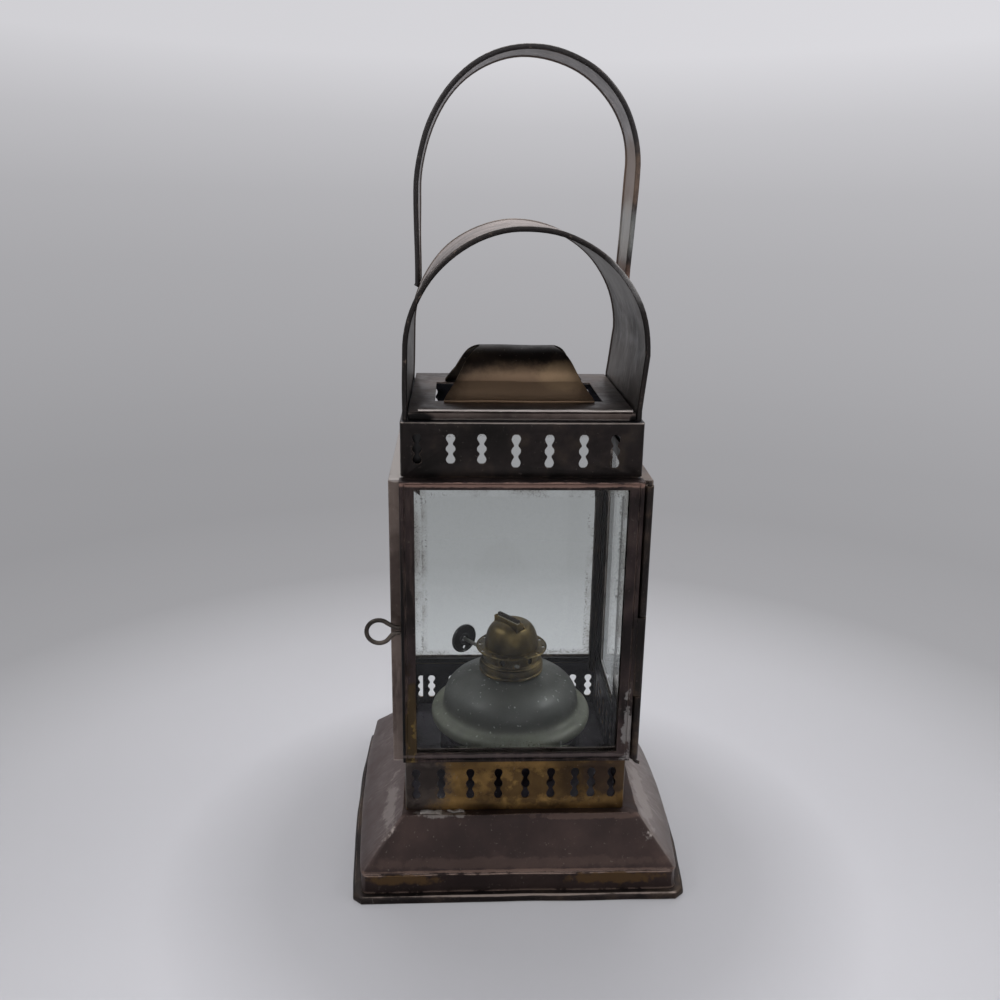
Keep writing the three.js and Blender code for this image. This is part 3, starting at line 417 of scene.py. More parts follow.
def softened(node: str, name: str, width: float = 0.25, segments: int = 2) -> bpy.types.Object:
    """Copies a CAD node, merges its flat triangles to faces and rounds its edges, as pressed sheet has them.

    Args:
        node: The CAD node.
        name: The new piece's name.
        width: Width of the rounding in millimetres.
        segments: Steps across it.

    Returns:
        The new piece.
    """
    activate(bpy.data.objects[node])
    bpy.ops.object.duplicate(linked=False)
    piece = bpy.context.active_object
    piece.parent = None
    for key in list(piece.keys()):
        del piece[key]
    piece.name = name
    piece.data.name = name
    with editing(piece):
        bpy.ops.mesh.remove_doubles(threshold=WELD)
        bpy.ops.mesh.dissolve_limited(angle_limit=FLAT_WITHIN)
        bpy.ops.mesh.normals_make_consistent(inside=False)
    rounded(piece, width, segments)
    return piece


def drilled(piece: bpy.types.Object, cutters: Sequence[bpy.types.Object]) -> None:
    """Cuts other objects out of a piece and deletes them.

    Args:
        piece: The piece.
        cutters: The objects to cut out.
    """
    for cutter in cutters:
        apply(piece, "BOOLEAN", operation="DIFFERENCE", solver="EXACT", object=cutter)
        bpy.data.objects.remove(cutter, do_unlink=True)


# Materials


def linear(code: str) -> tuple[float, float, float, float]:
    """Turns a colour as it looks on a screen into Blender's linear colour.

    Args:
        code: The colour, such as #7d6236.

    Returns:
        Its linear red, green and blue, and 1 for full cover.
    """
    channels = [int(code[i:i + 2], 16) / 255 for i in (1, 3, 5)]
    plain = [c / 12.92 if c <= 0.04045 else ((c + 0.055) / 1.055) ** 2.4 for c in channels]
    return plain[0], plain[1], plain[2], 1.0


class Graph:
    """Adds nodes to a node tree and wires them."""

    def __init__(self, tree: bpy.types.NodeTree) -> None:
        """Starts from a tree."""
        self.tree = tree

    def add(
        self, kind: str, inputs: dict[str | int, object] | None = None, **settings: object,
    ) -> bpy.types.Node:
        """Adds a node.

        Args:
            kind: The node's type without its ShaderNode prefix.
            inputs: Values or sockets for its inputs, by name or number.
            **settings: The node's own settings.

        Returns:
            The node.
        """
        node = self.tree.nodes.new(f"ShaderNode{kind}")
        for name, value in settings.items():
            setattr(node, name, value)
        for key, value in (inputs or {}).items():
            self.feed(node.inputs[key], value)
        return node

    def feed(self, socket: bpy.types.NodeSocket, value: object) -> None:
        """Links a socket to an input, or writes a plain value to it.

        Args:
            socket: The input.
            value: A socket or a plain value.
        """
        if isinstance(value, bpy.types.NodeSocket):
            self.tree.links.new(value, socket)
        else:
            socket.default_value = value

    def math(
        self, operation: str, first: object, second: object = 0.0, clamp: bool = False,
    ) -> bpy.types.NodeSocket:
        """The result of a Math node."""
        return self.add("Math", {0: first, 1: second}, operation=operation, use_clamp=clamp).outputs[0]

    def step(self, value: object, low: float, high: float) -> bpy.types.NodeSocket:
        """Rises smoothly from 0 to 1 as a value goes from low to high."""
        inputs = {"Value": value, "From Min": low, "From Max": high}
        return self.add("MapRange", inputs, interpolation_type="SMOOTHSTEP").outputs[0]

    def mix(self, share: object, first: object, second: object) -> bpy.types.NodeSocket:
        """Mixes two colours."""
        return self.add("Mix", {0: share, 6: first, 7: second}, data_type="RGBA").outputs[2]

    def blend(self, share: object, first: object, second: object) -> bpy.types.NodeSocket:
        """Mixes two numbers."""
        return self.add("Mix", {0: share, 2: first, 3: second}, data_type="FLOAT").outputs[0]

    def noise(
        self, place: object, scale: float, detail: float = 3.0, rough: float = 0.55,
    ) -> bpy.types.NodeSocket:
        """A noise value at a place."""
        inputs = {"Vector": place, "Scale": scale, "Detail": detail, "Roughness": rough}
        return self.add("TexNoise", inputs).outputs[0]

    def scaled(self, place: object, factors: Place) -> bpy.types.NodeSocket:
        """A place with each of its axes stretched."""
        return self.add("VectorMath", {0: place, 1: factors}, operation="MULTIPLY").outputs[0]


def new_group(name: str, inputs: Sequence[tuple[str, str]], outputs: Sequence[tuple[str, str]]) -> Graph:
    """Starts a shader node group with named sockets.

    Args:
        name: The group's name.
        inputs: Name and kind (Float, Color or Vector) of each input.
        outputs: The same for each output.

    Returns:
        The group's graph, with its input and output nodes added.
    """
    tree = bpy.data.node_groups.new(name, "ShaderNodeTree")
    for direction, sockets in (("INPUT", inputs), ("OUTPUT", outputs)):
        for label, kind in sockets:
            tree.interface.new_socket(label, in_out=direction, socket_type=f"NodeSocket{kind}")
    graph = Graph(tree)
    tree.nodes.new("NodeGroupInput")
    tree.nodes.new("NodeGroupOutput")
    return graph


@dataclass
class SharedEffects:
    """The node groups that several finishes use, each built once.

    Attributes:
        cloud: Scale of the slow clouds in the patina.
        mottle: Scale of its mottle.
        grain: Scale of the sheet's grain.
        drawn: Scale of the streaks drawn down the sheet.
        drawn_stretch: How the streaks are stretched on each axis.
        fleck: Scale of the dust.
        torn: Scale of a patch's torn edge.
        film_reach: Where a pane's film starts and is full, in millimetres inside its opening.
        bevel_reach: Where the specks along a bevel's foot start and are full, in millimetres from it.
    """

    AGED: ClassVar[str] = "aged_sheet"
    PATCH: ClassVar[str] = "patch"
    GRIME: ClassVar[str] = "pane_grime"

    cloud: float = 42.0
    mottle: float = 170.0
    grain: float = 1500.0
    drawn: float = 520.0
    drawn_stretch: Place = (1.0, 1.0, 0.12)
    fleck: float = 900.0
    torn: float = 240.0
    film_reach: Point = (3.6, 0.4)
    bevel_reach: Point = (0.7, 0.1)

    def build(self) -> None:
        """Builds every group."""
        self.aged_sheet()
        self.patch()
        self.pane_grime()

    def aged_sheet(self) -> None:
        """Old brass sheet: clouds and mottle in its patina, drawn streaks, worn edges and fine dust."""
        graph = new_group(
            self.AGED,
            [("Vector", "Vector"), ("Deep", "Color"), ("Body", "Color"), ("Bright", "Color"),
             ("Rub", "Color"), ("Dust", "Color"), ("Blotch", "Float"), ("Streak", "Float"),
             ("Speck", "Float"), ("Wear", "Float"), ("Edge", "Float"), ("Rough Low", "Float"),
             ("Rough High", "Float")],
            [("Color", "Color"), ("Roughness", "Float"), ("Height", "Float")],
        )
        take = graph.tree.nodes["Group Input"].outputs
        give = graph.tree.nodes["Group Output"].inputs
        place = take["Vector"]
        cloud = graph.noise(place, self.cloud, 4.0)
        mottle = graph.noise(place, self.mottle, 6.0, 0.62)
        grain = graph.noise(place, self.grain, 3.0)
        drawn = graph.noise(graph.scaled(place, self.drawn_stretch), self.drawn, 4.0)
        body = graph.mix(graph.step(cloud, 0.36, 0.62), take["Deep"], take["Body"])
        body = graph.mix(graph.math("MULTIPLY", graph.step(mottle, 0.45, 0.3), 0.5), body, take["Deep"])
        both = graph.blend(0.45, mottle, cloud)
        blotch = graph.math("MULTIPLY", graph.step(both, 0.5, 0.66), take["Blotch"], clamp=True)
        streak = graph.math("MULTIPLY", graph.step(drawn, 0.52, 0.72), take["Streak"], clamp=True)
        colour = graph.mix(graph.math("MAXIMUM", blotch, streak), body, take["Bright"])
        soft = graph.add("Bevel", {"Radius": take["Edge"]}, samples=6).outputs[0]
        own = graph.add("NewGeometry").outputs["Normal"]
        turned = graph.add("VectorMath", {0: soft, 1: own}, operation="DOT_PRODUCT").outputs["Value"]
        edge = graph.step(graph.math("SUBTRACT", 1.0, turned), 0.02, 0.2)
        rubbed = graph.math("MULTIPLY", edge, graph.step(mottle, 0.36, 0.6))
        rubbed = graph.math("MULTIPLY", rubbed, take["Wear"], clamp=True)
        colour = graph.mix(rubbed, colour, take["Rub"])
        fleck = graph.step(graph.noise(place, self.fleck, 2.0), 0.66, 0.76)
        colour = graph.mix(graph.math("MULTIPLY", fleck, take["Speck"]), colour, take["Dust"])
        rough = graph.blend(graph.step(mottle, 0.3, 0.7), take["Rough Low"], take["Rough High"])
        rough = graph.math("SUBTRACT", rough, graph.math("MULTIPLY", rubbed, 0.1))
        height = graph.math("MULTIPLY", grain, 0.35)
        height = graph.math("ADD", height, graph.math("MULTIPLY", mottle, 0.5))
        furrow = graph.math("MULTIPLY", graph.math("MULTIPLY", drawn, take["Streak"]), 0.3)
        height = graph.math("ADD", height, furrow)
        graph.feed(give["Color"], colour)
        graph.feed(give["Roughness"], rough)
        graph.feed(give["Height"], height)

    def patch(self) -> None:
        """A ragged patch round a place."""
        graph = new_group(
            self.PATCH,
            [("Vector", "Vector"), ("Middle", "Vector"), ("Reach", "Vector"), ("Ragged", "Float")],
            [("Mask", "Float")],
        )
        take = graph.tree.nodes["Group Input"].outputs
        give = graph.tree.nodes["Group Output"].inputs
        place = take["Vector"]
        away = graph.add("VectorMath", {0: place, 1: take["Middle"]}, operation="SUBTRACT").outputs[0]
        share = graph.add("VectorMath", {0: away, 1: take["Reach"]}, operation="DIVIDE").outputs[0]
        distance = graph.add("VectorMath", {0: share}, operation="LENGTH").outputs["Value"]
        torn = graph.math("SUBTRACT", graph.noise(place, self.torn, 6.0, 0.65), 0.5)
        distance = graph.math("ADD", distance, graph.math("MULTIPLY", torn, take["Ragged"]))
        graph.feed(give["Mask"], graph.step(distance, 1.0, 0.55))

    def pane_grime(self) -> None:
        """Dirt on a pane: a film and specks by its frame, and specks along the foot of its ground bevel."""
        graph = new_group(
            self.GRIME,
            [("Vector", "Vector"), ("Middle", "Vector"), ("Half", "Vector"), ("Bevel", "Float")],
            [("Film", "Float"), ("Specks", "Float")],
        )
        take = graph.tree.nodes["Group Input"].outputs
        give = graph.tree.nodes["Group Output"].inputs
        place = take["Vector"]
        away = graph.add("VectorMath", {0: place, 1: take["Middle"]}, operation="SUBTRACT").outputs[0]
        away = graph.add("VectorMath", {0: away}, operation="ABSOLUTE").outputs[0]
        away = graph.add("VectorMath", {0: away, 1: take["Half"]}, operation="SUBTRACT").outputs[0]
        axes = graph.add("SeparateXYZ", {0: away}).outputs
        inside = graph.math("MAXIMUM", graph.math("MAXIMUM", axes[0], axes[1]), axes[2])
        by_frame = graph.step(inside, -self.film_reach[0] * MM, -self.film_reach[1] * MM)
        fine = graph.noise(place, 1300.0, 4.0, 0.6)
        coarse = graph.noise(place, 90.0, 3.0)
        film = graph.math("MULTIPLY", by_frame, graph.step(coarse, 0.42, 0.66))
        off_line = graph.math("ABSOLUTE", graph.math("ADD", inside, take["Bevel"]))
        on_line = graph.step(off_line, self.bevel_reach[0] * MM, self.bevel_reach[1] * MM)
        rarely = graph.step(graph.noise(place, 60.0, 2.0), 0.45, 0.6)
        dotted = graph.math("MULTIPLY", graph.math("MULTIPLY", on_line, rarely), graph.step(fine, 0.52, 0.6))
        strewn = graph.math("MULTIPLY", graph.step(fine, 0.56, 0.62), graph.math("ADD", film, 0.05))
        graph.feed(give["Film"], film)
        graph.feed(give["Specks"], graph.math("MAXIMUM", dotted, strewn, clamp=True))


def group_node(graph: Graph, name: str, inputs: dict[str, object]) -> bpy.types.Node:
    """Places a shared effect in a material.

    Args:
        graph: The material's graph.
        name: The effect's name.
        inputs: Values or sockets for its inputs, by name.

    Returns:
        The node.
    """
    node = graph.tree.nodes.new("ShaderNodeGroup")
    node.node_tree = bpy.data.node_groups[name]
    for key, value in inputs.items():
        graph.feed(node.inputs[key], value)
    return node


@dataclass(frozen=True)
class Patch:
    """A patch of another tone on a sheet.

    Attributes:
        middle: Its place in millimetres.
        reach: Its half sizes in millimetres.
        colour: Its tone.
        strength: How much of the sheet's own tone it hides, up to 1.
        ragged: How torn its edge is.
        rough: Its roughness.
    """

    middle: Place
    reach: Place
    colour: str
    strength: float = 0.85
    ragged: float = 1.4
    rough: float = 0.45


class Finish:
    """A finish that makes a material."""

    slot: str

    def start(self, name: str) -> tuple[bpy.types.Material, Graph, bpy.types.Node, bpy.types.NodeSocket]:
        """Starts a material with one Principled shader.

        Args:
            name: The material's name.

        Returns:
            The material, its graph, the shader and the socket of Object coordinates.
        """
        material = bpy.data.materials.new(name)
        material.use_nodes = True
        graph = Graph(material.node_tree)
        shader = material.node_tree.nodes["Principled BSDF"]
        place = graph.add("TexCoord").outputs["Object"]
        return material, graph, shader, place

    def material(self) -> bpy.types.Material:
        """Makes the material. Each finish has its own way."""
        raise NotImplementedError


@dataclass(frozen=True)
class SheetFinish(Finish):
    """Patinated brass sheet.

    Attributes:
        name: The material's name.
        slot: The record's material slot.
        deep: Darkest tone of the patina.
        body: Its usual tone.
        bright: Tone of streaks and blotches.
        rub: Tone of worn edges.
        dust: Tone of fine specks.
        blotch: Amount of bright blotches.
        streak: Amount of drawn streaks.
        speck: Amount of dust specks.
        wear: Amount of bright metal on edges.
        edge: Width of the worn edges in millimetres.
        metallic: How metallic the patina looks.
        rough: Lowest and highest roughness.
        bump: Depth of the grain in millimetres.
        inner: Painted shade on the side that faces into the lantern, if it is another one.
        inner_from: Distance from the middle planes, in millimetres, within which that tone shows.
        inner_ease: Half the width of the change to it, in millimetres.
        patches: Patches of other tones.
    """

    name: str
    slot: str
    deep: str
    body: str
    bright: str
    rub: str = "#6f5d4c"
    dust: str = "#8f867c"
    blotch: float = 0.35
    streak: float = 0.2
    speck: float = 0.25
    wear: float = 0.6
    edge: float = 0.9
    metallic: float = 0.75
    rough: Point = (0.36, 0.55)
    bump: float = 0.05
    inner: str = ""
    inner_from: float = 38.1
    inner_ease: float = 0.1
    patches: tuple[Patch, ...] = ()

    def dress(
        self, graph: Graph, place: bpy.types.NodeSocket, colour: bpy.types.NodeSocket,
    ) -> bpy.types.NodeSocket:
        """Changes the sheet's colour before its patches are laid on. A plain sheet only gets its inner tone,
        a painted shade inside the lantern.

        Args:
            graph: The material's graph.
            place: Object coordinates.
            colour: The sheet's colour.

        Returns:
            The colour to go on with.
        """
        if not self.inner:
            return colour
        # The inner tone is painted shade on the faces inside the lantern.
        away = graph.add("VectorMath", {0: place}, operation="ABSOLUTE").outputs[0]
        axes = graph.add("SeparateXYZ", {0: away}).outputs
        farther = graph.math("MAXIMUM", axes[0], axes[1])
        outer, inner = self.inner_from + self.inner_ease, self.inner_from - self.inner_ease
        inside = graph.step(farther, outer * MM, inner * MM)
        return graph.mix(inside, colour, linear(self.inner))

    def material(self) -> bpy.types.Material:
        """Makes the material, once for each name.

        Returns:
            The material.
        """
        if self.name in bpy.data.materials:
            return bpy.data.materials[self.name]
        material, graph, shader, place = self.start(self.name)
        sheet = group_node(graph, SharedEffects.AGED, {
            "Vector": place, "Deep": linear(self.deep), "Body": linear(self.body),
            "Bright": linear(self.bright), "Rub": linear(self.rub), "Dust": linear(self.dust),
            "Blotch": self.blotch, "Streak": self.streak, "Speck": self.speck, "Wear": self.wear,
            "Edge": self.edge * MM, "Rough Low": self.rough[0], "Rough High": self.rough[1],
        })
        colour = self.dress(graph, place, sheet.outputs["Color"])
        rough = sheet.outputs["Roughness"]
        for patch in self.patches:
            spread = group_node(graph, SharedEffects.PATCH, {
                "Vector": place, "Middle": [v * MM for v in patch.middle],
                "Reach": [v * MM for v in patch.reach], "Ragged": patch.ragged,
            })
            share = graph.math("MULTIPLY", spread.outputs["Mask"], patch.strength)
            colour = graph.mix(share, colour, linear(patch.colour))
            rough = graph.blend(share, rough, patch.rough)
        relief = {"Height": sheet.outputs["Height"], "Distance": self.bump * MM, "Strength": 0.6}
        bump = graph.add("Bump", relief)
        graph.feed(shader.inputs["Base Color"], colour)
        graph.feed(shader.inputs["Roughness"], rough)
        graph.feed(shader.inputs["Normal"], bump.outputs[0])
        shader.inputs["Metallic"].default_value = self.metallic
        return material


@dataclass(frozen=True)
class StrapFinish(SheetFinish):
    """A bent strap: dark rolled hems with painted highlight glints, a painted highlight line beside each, one
    tone on its outer face and another on its inner.

    Attributes:
        centre: (x, z) of the bend's centre in millimetres.
        half: Half the strap's width in millimetres.
        hem: Width of a hem in millimetres.
        hem_tone: Tone of the front hem.
        back_tone: Tone of the back hem.
        highlight_line_tone: Tone of the line where a hem meets the sheet.
        outer_tone: Tone of the outer face where it is turned up.
        outer_share: How much of that tone shows.
    """

    centre: Point = (0.0, 0.0)
    half: float = 10.0
    hem: float = 1.9
    hem_tone: str = "#1f1b1a"
    back_tone: str = "#5c524c"
    highlight_line_tone: str = "#a39c97"
    outer_tone: str = "#a89a94"
    outer_share: float = 0.7

    def dress(
        self, graph: Graph, place: bpy.types.NodeSocket, colour: bpy.types.NodeSocket,
    ) -> bpy.types.NodeSocket:
        """Lays the outer tone, the hems with their painted highlight glints and the painted highlight line
        beside each over the sheet's colour.

        Args:
            graph: The material's graph.
            place: Object coordinates.
            colour: The sheet's colour.

        Returns:
            The colour to go on with.
        """
        axes = graph.add("SeparateXYZ", {0: place}).outputs
        normal = graph.add("SeparateXYZ", {0: graph.add("NewGeometry").outputs["Normal"]}).outputs
        side = graph.math("SUBTRACT", axes[0], self.centre[0] * MM)
        rise = graph.math("MAXIMUM", graph.math("SUBTRACT", axes[2], self.centre[1] * MM), 0.0)
        outward = graph.math("MULTIPLY", side, normal[0])
        outward = graph.math("ADD", outward, graph.math("MULTIPLY", rise, normal[2]))
        turned_up = graph.step(normal[2], 0.1, 0.75)
        outer = graph.math("MULTIPLY", graph.step(outward, 0.0, 8.0 * MM), turned_up)
        cloud = graph.noise(place, 95.0, 5.0, 0.6)
        outer = graph.math("MULTIPLY", outer, graph.blend(graph.step(cloud, 0.35, 0.6), 0.55, 1.0))
        colour = graph.mix(graph.math("MULTIPLY", outer, self.outer_share), colour, linear(self.outer_tone))
        edge = graph.math("SUBTRACT", graph.math("ABSOLUTE", axes[1]), (self.half - self.hem) * MM)
        hem = graph.math("MULTIPLY", graph.step(edge, -0.25 * MM, 0.15 * MM), 0.93)
        # Painted highlights: glints in the rub tone along the hems.
        hem_glints = graph.noise(graph.scaled(place, (1.0, 6.0, 1.0)), 260.0, 4.0, 0.6)
        tone = graph.mix(graph.step(axes[1], 0.0, 1.0 * MM), linear(self.hem_tone), linear(self.back_tone))
        tone = graph.mix(graph.step(hem_glints, 0.6, 0.72), tone, linear(self.rub))
        colour = graph.mix(hem, colour, tone)
        # Painted highlight: a bright line beside each hem.
        off_line = graph.math("ABSOLUTE", graph.math("SUBTRACT", edge, -0.45 * MM))
        line = graph.step(off_line, 0.35 * MM, 0.1 * MM)
        line = graph.math("MULTIPLY", line, graph.step(cloud, 0.35, 0.55))
        return graph.mix(graph.math("MULTIPLY", line, 0.7), colour, linear(self.highlight_line_tone))


@dataclass(frozen=True)
class FlankedFinish(SheetFinish):
    """The skirt's sheet, paler on the flanks that face left and right by a painted reflection, and scratched
    there.

    Attributes:
        left: Tone of the left flank, a painted reflection.
        right: Tone of the right flank, a painted reflection.
        scratch: Tone of their scratches.
        dark_foot: Heights in millimetres between which the flanks turn from dark to their full tone.
    """

    left: str = "#6b5d5a"
    right: str = "#8b807b"
    scratch: str = "#c4bbb5"
    dark_foot: Point = (6.0, 19.0)

    def dress(
        self, graph: Graph, place: bpy.types.NodeSocket, colour: bpy.types.NodeSocket,
    ) -> bpy.types.NodeSocket:
        """Lays the flanks' painted reflection tones and their scratches over the sheet's colour.

        Args:
            graph: The material's graph.
            place: Object coordinates.
            colour: The sheet's colour.

        Returns:
            The colour to go on with.
        """
        axes = graph.add("SeparateXYZ", {0: place}).outputs
        side = graph.add("SeparateXYZ", {0: graph.add("NewGeometry").outputs["Normal"]}).outputs[0]
        scraped = graph.noise(graph.scaled(place, (0.4, 3.0, 0.4)), 640.0, 6.0, 0.7)
        here_and_there = graph.step(graph.noise(place, 60.0), 0.35, 0.6)
        lines = graph.math("MULTIPLY", graph.step(scraped, 0.47, 0.68), here_and_there)
        low = graph.step(axes[2], self.dark_foot[0] * MM, self.dark_foot[1] * MM)
        # Painted reflection: the flanks facing left and right get paler tones, weaker towards the foot; the
        # scratches on them are wear.
        flanks = ((self.left, graph.math("MULTIPLY", side, -1.0), 0.4), (self.right, side, 0.7))
        for tone, facing, share in flanks:
            flank = graph.math("MULTIPLY", graph.step(facing, 0.35, 0.6), graph.blend(low, 0.35, 0.92))
            streaked = graph.mix(graph.math("MULTIPLY", lines, share), linear(tone), linear(self.scratch))
            colour = graph.mix(flank, colour, streaked)
        return colour


@dataclass(frozen=True)
class PaneFinish(Finish):
    """Clear bevelled glass with grime by its frame.

    Attributes:
        name: The material's name.
        middle: Middle of the pane in millimetres.
        half: Half of the opening that shows it, in millimetres, large on the pane's thin axis.
        slot: The record's material slot.
        tint: Colour of the glass.
        haze: Colour of the film by its frame.
        dirt: Colour of the specks.
        hazed: How much the film hides.
        dotted: How much the specks hide.
        bevel: Width of the ground bevel in millimetres.
        passed: How much light it lets through to what stands behind it.
        index: Its index, low so that it mirrors the pale floor no more than the real pane does.
    """

    name: str
    middle: Place
    half: Place
    slot: str = "clear_glass"
    tint: str = "#f2f5f4"
    haze: str = "#8d8274"
    dirt: str = "#4a4038"
    hazed: float = 0.45
    dotted: float = 0.75
    bevel: float = 2.3
    passed: float = 0.88
    index: float = 1.25

    def material(self) -> bpy.types.Material:
        """Makes the material. Light for what stands behind the pane passes through it.

        Returns:
            The material.
        """
        material, graph, shader, place = self.start(self.name)
        grime = group_node(graph, SharedEffects.GRIME, {
            "Vector": place, "Middle": [v * MM for v in self.middle], "Half": [v * MM for v in self.half],
            "Bevel": self.bevel * MM,
        })
        film = graph.math("MULTIPLY", grime.outputs["Film"], self.hazed)
        specks = graph.math("MULTIPLY", grime.outputs["Specks"], self.dotted)
        colour = graph.mix(film, linear(self.tint), linear(self.haze))
        colour = graph.mix(specks, colour, linear(self.dirt))
        shadow = graph.add("LightPath").outputs["Is Shadow Ray"]
        clear = graph.math("MULTIPLY", shadow, self.passed)
        graph.feed(shader.inputs["Base Color"], colour)
        graph.feed(shader.inputs["Roughness"], graph.blend(film, 0.0, 0.35))
        graph.feed(shader.inputs["Alpha"], graph.math("SUBTRACT", 1.0, clear))
        shader.inputs["Transmission Weight"].default_value = 1.0
        shader.inputs["IOR"].default_value = self.index
        return material


@dataclass(frozen=True)
class FountFinish(Finish):
    """Cloudy old pressed glass with white specks, a greener brim and painted shade on the drum under it.

    Attributes:
        slot: The record's material slot.
        crown: Tone of the crown.
        brim: Tone of the brim.
        foot: Painted shade on the drum under the brim.
        cloud: Tone of the clouds in the glass.
        fleck: Tone of its specks.
        crown_from: Heights in millimetres between which the brim's tone turns to the crown's.
        foot_from: Heights in millimetres between which the brim's tone turns to the foot's.
        passed: How much light it lets through to what stands behind it.
        clear: How clear the glass is.
        index: Its index.
    """

    slot: str = "aged_glass"
    crown: str = "#5b5c57"
    brim: str = "#868878"
    foot: str = "#2f3030"
    cloud: str = "#4a4c49"
    fleck: str = "#d9dad4"
    crown_from: Point = (46.0, 50.0)
    foot_from: Point = (41.3, 40.5)
    passed: float = 0.6
    clear: float = 0.55
    index: float = 1.5

    def material(self) -> bpy.types.Material:
        """Makes the material.

        Returns:
            The material.
        """
        material, graph, shader, place = self.start("cloudy_fount_glass")
        height = graph.add("SeparateXYZ", {0: place}).outputs[2]
        over = graph.step(height, self.crown_from[0] * MM, self.crown_from[1] * MM)
        # Painted shade: the drum under the brim turns dark.
        under = graph.step(height, self.foot_from[0] * MM, self.foot_from[1] * MM)
        colour = graph.mix(over, linear(self.brim), linear(self.crown))
        colour = graph.mix(under, colour, linear(self.foot))
        cloud = graph.noise(place, 130.0, 5.0, 0.6)
        clouded = graph.math("MULTIPLY", graph.step(cloud, 0.4, 0.7), 0.4)
        colour = graph.mix(clouded, colour, linear(self.cloud))
        fleck = graph.step(graph.noise(place, 620.0, 3.0, 0.5), 0.66, 0.72)
        colour = graph.mix(fleck, colour, linear(self.fleck))
        rough = graph.blend(graph.step(cloud, 0.3, 0.7), 0.34, 0.55)
        relief = {"Height": graph.noise(place, 260.0, 3.0), "Distance": 0.25 * MM, "Strength": 0.5}
        shadow = graph.add("LightPath").outputs["Is Shadow Ray"]
        clear = graph.math("MULTIPLY", shadow, self.passed)
        graph.feed(shader.inputs["Base Color"], colour)
        graph.feed(shader.inputs["Roughness"], rough)
        graph.feed(shader.inputs["Normal"], graph.add("Bump", relief).outputs[0])
        graph.feed(shader.inputs["Alpha"], graph.math("SUBTRACT", 1.0, clear))
        shader.inputs["Transmission Weight"].default_value = self.clear
        shader.inputs["IOR"].default_value = self.index
        return material


@dataclass(frozen=True)
class FeltFinish(Finish):
    """Woven cotton wick, charred at its top edge.

    Attributes:
        slot: The record's material slot.
        cotton: Tone of the threads.
        shade: Tone between them.
        char: Tone of the burnt edge.
        char_from: Heights in millimetres between which the cotton turns to char.
    """

    slot: str = "felt"
    cotton: str = "#d8d2c0"
    shade: str = "#a79f8a"
    char: str = "#2a2420"
    char_from: Point = (81.4, 82.3)

    def material(self) -> bpy.types.Material:
        """Makes the material.

        Returns:
            The material.
        """
        material, graph, shader, place = self.start("woven_wick")
        wave = {"Vector": place, "Scale": 420.0, "Distortion": 1.5}
        weave = graph.add("TexWave", wave, bands_direction="Z")
        colour = graph.mix(weave.outputs[1], linear(self.shade), linear(self.cotton))
        height = graph.add("SeparateXYZ", {0: place}).outputs[2]
        ragged = graph.math("ADD", height, graph.math("MULTIPLY", graph.noise(place, 900.0), 0.6 * MM))
        burnt = graph.step(ragged, self.char_from[0] * MM, self.char_from[1] * MM)
        colour = graph.mix(burnt, colour, linear(self.char))
        relief = {"Height": weave.outputs[1], "Distance": 0.15 * MM, "Strength": 0.8}
        graph.feed(shader.inputs["Base Color"], colour)
        graph.feed(shader.inputs["Normal"], graph.add("Bump", relief).outputs[0])
        shader.inputs["Roughness"].default_value = 0.95
        return material


DARK = SheetFinish("dark_brass_sheet", "dark_brass", "#1b1716", "#2f2825", "#6f5d4c", streak=0.1)
RIM = SheetFinish(
    "base_rim_sheet", "dark_brass", "#1d1817", "#332b28", "#5c4c3c", rub="#9a8b80", wear=1.6, edge=0.7,
    streak=0.05,
    # Painted highlight: a pale line along the top of the rim's front face.
    patches=(Patch((1.0, -56.6, 2.75), (80.0, 0.9, 0.45), "#8f8279", 0.8, 1.0),),
)
FLOOR = SheetFinish(
    "floor_sheet", "dark_brass", "#2b282e", "#3a363e", "#524e57", rub="#55525c", dust="#a5a3ab", streak=0.0,
    speck=0.5, metallic=0.4,
)
# Painted shade: the near-black inner tone inside the lantern. Painted highlights: the two pale patches along
# the left frame's top edge.
FRAME = SheetFinish(
    "side_frame_sheet", "dark_brass", "#4a3f3a", "#74675f", "#94867e", rub="#bdb1a9", wear=1.6, edge=1.0,
    streak=0.3, blotch=0.25, inner="#0e0e11", inner_from=38.9,
    patches=(
        Patch((-40.3, -37.8, 145.9), (3.2, 3.0, 1.0), "#b5aaa2", 0.85, 1.0),
        Patch((-40.3, 0.0, 146.0), (4.5, 70.0, 0.9), "#b3ada8", 0.8, 1.0),
    ),
)
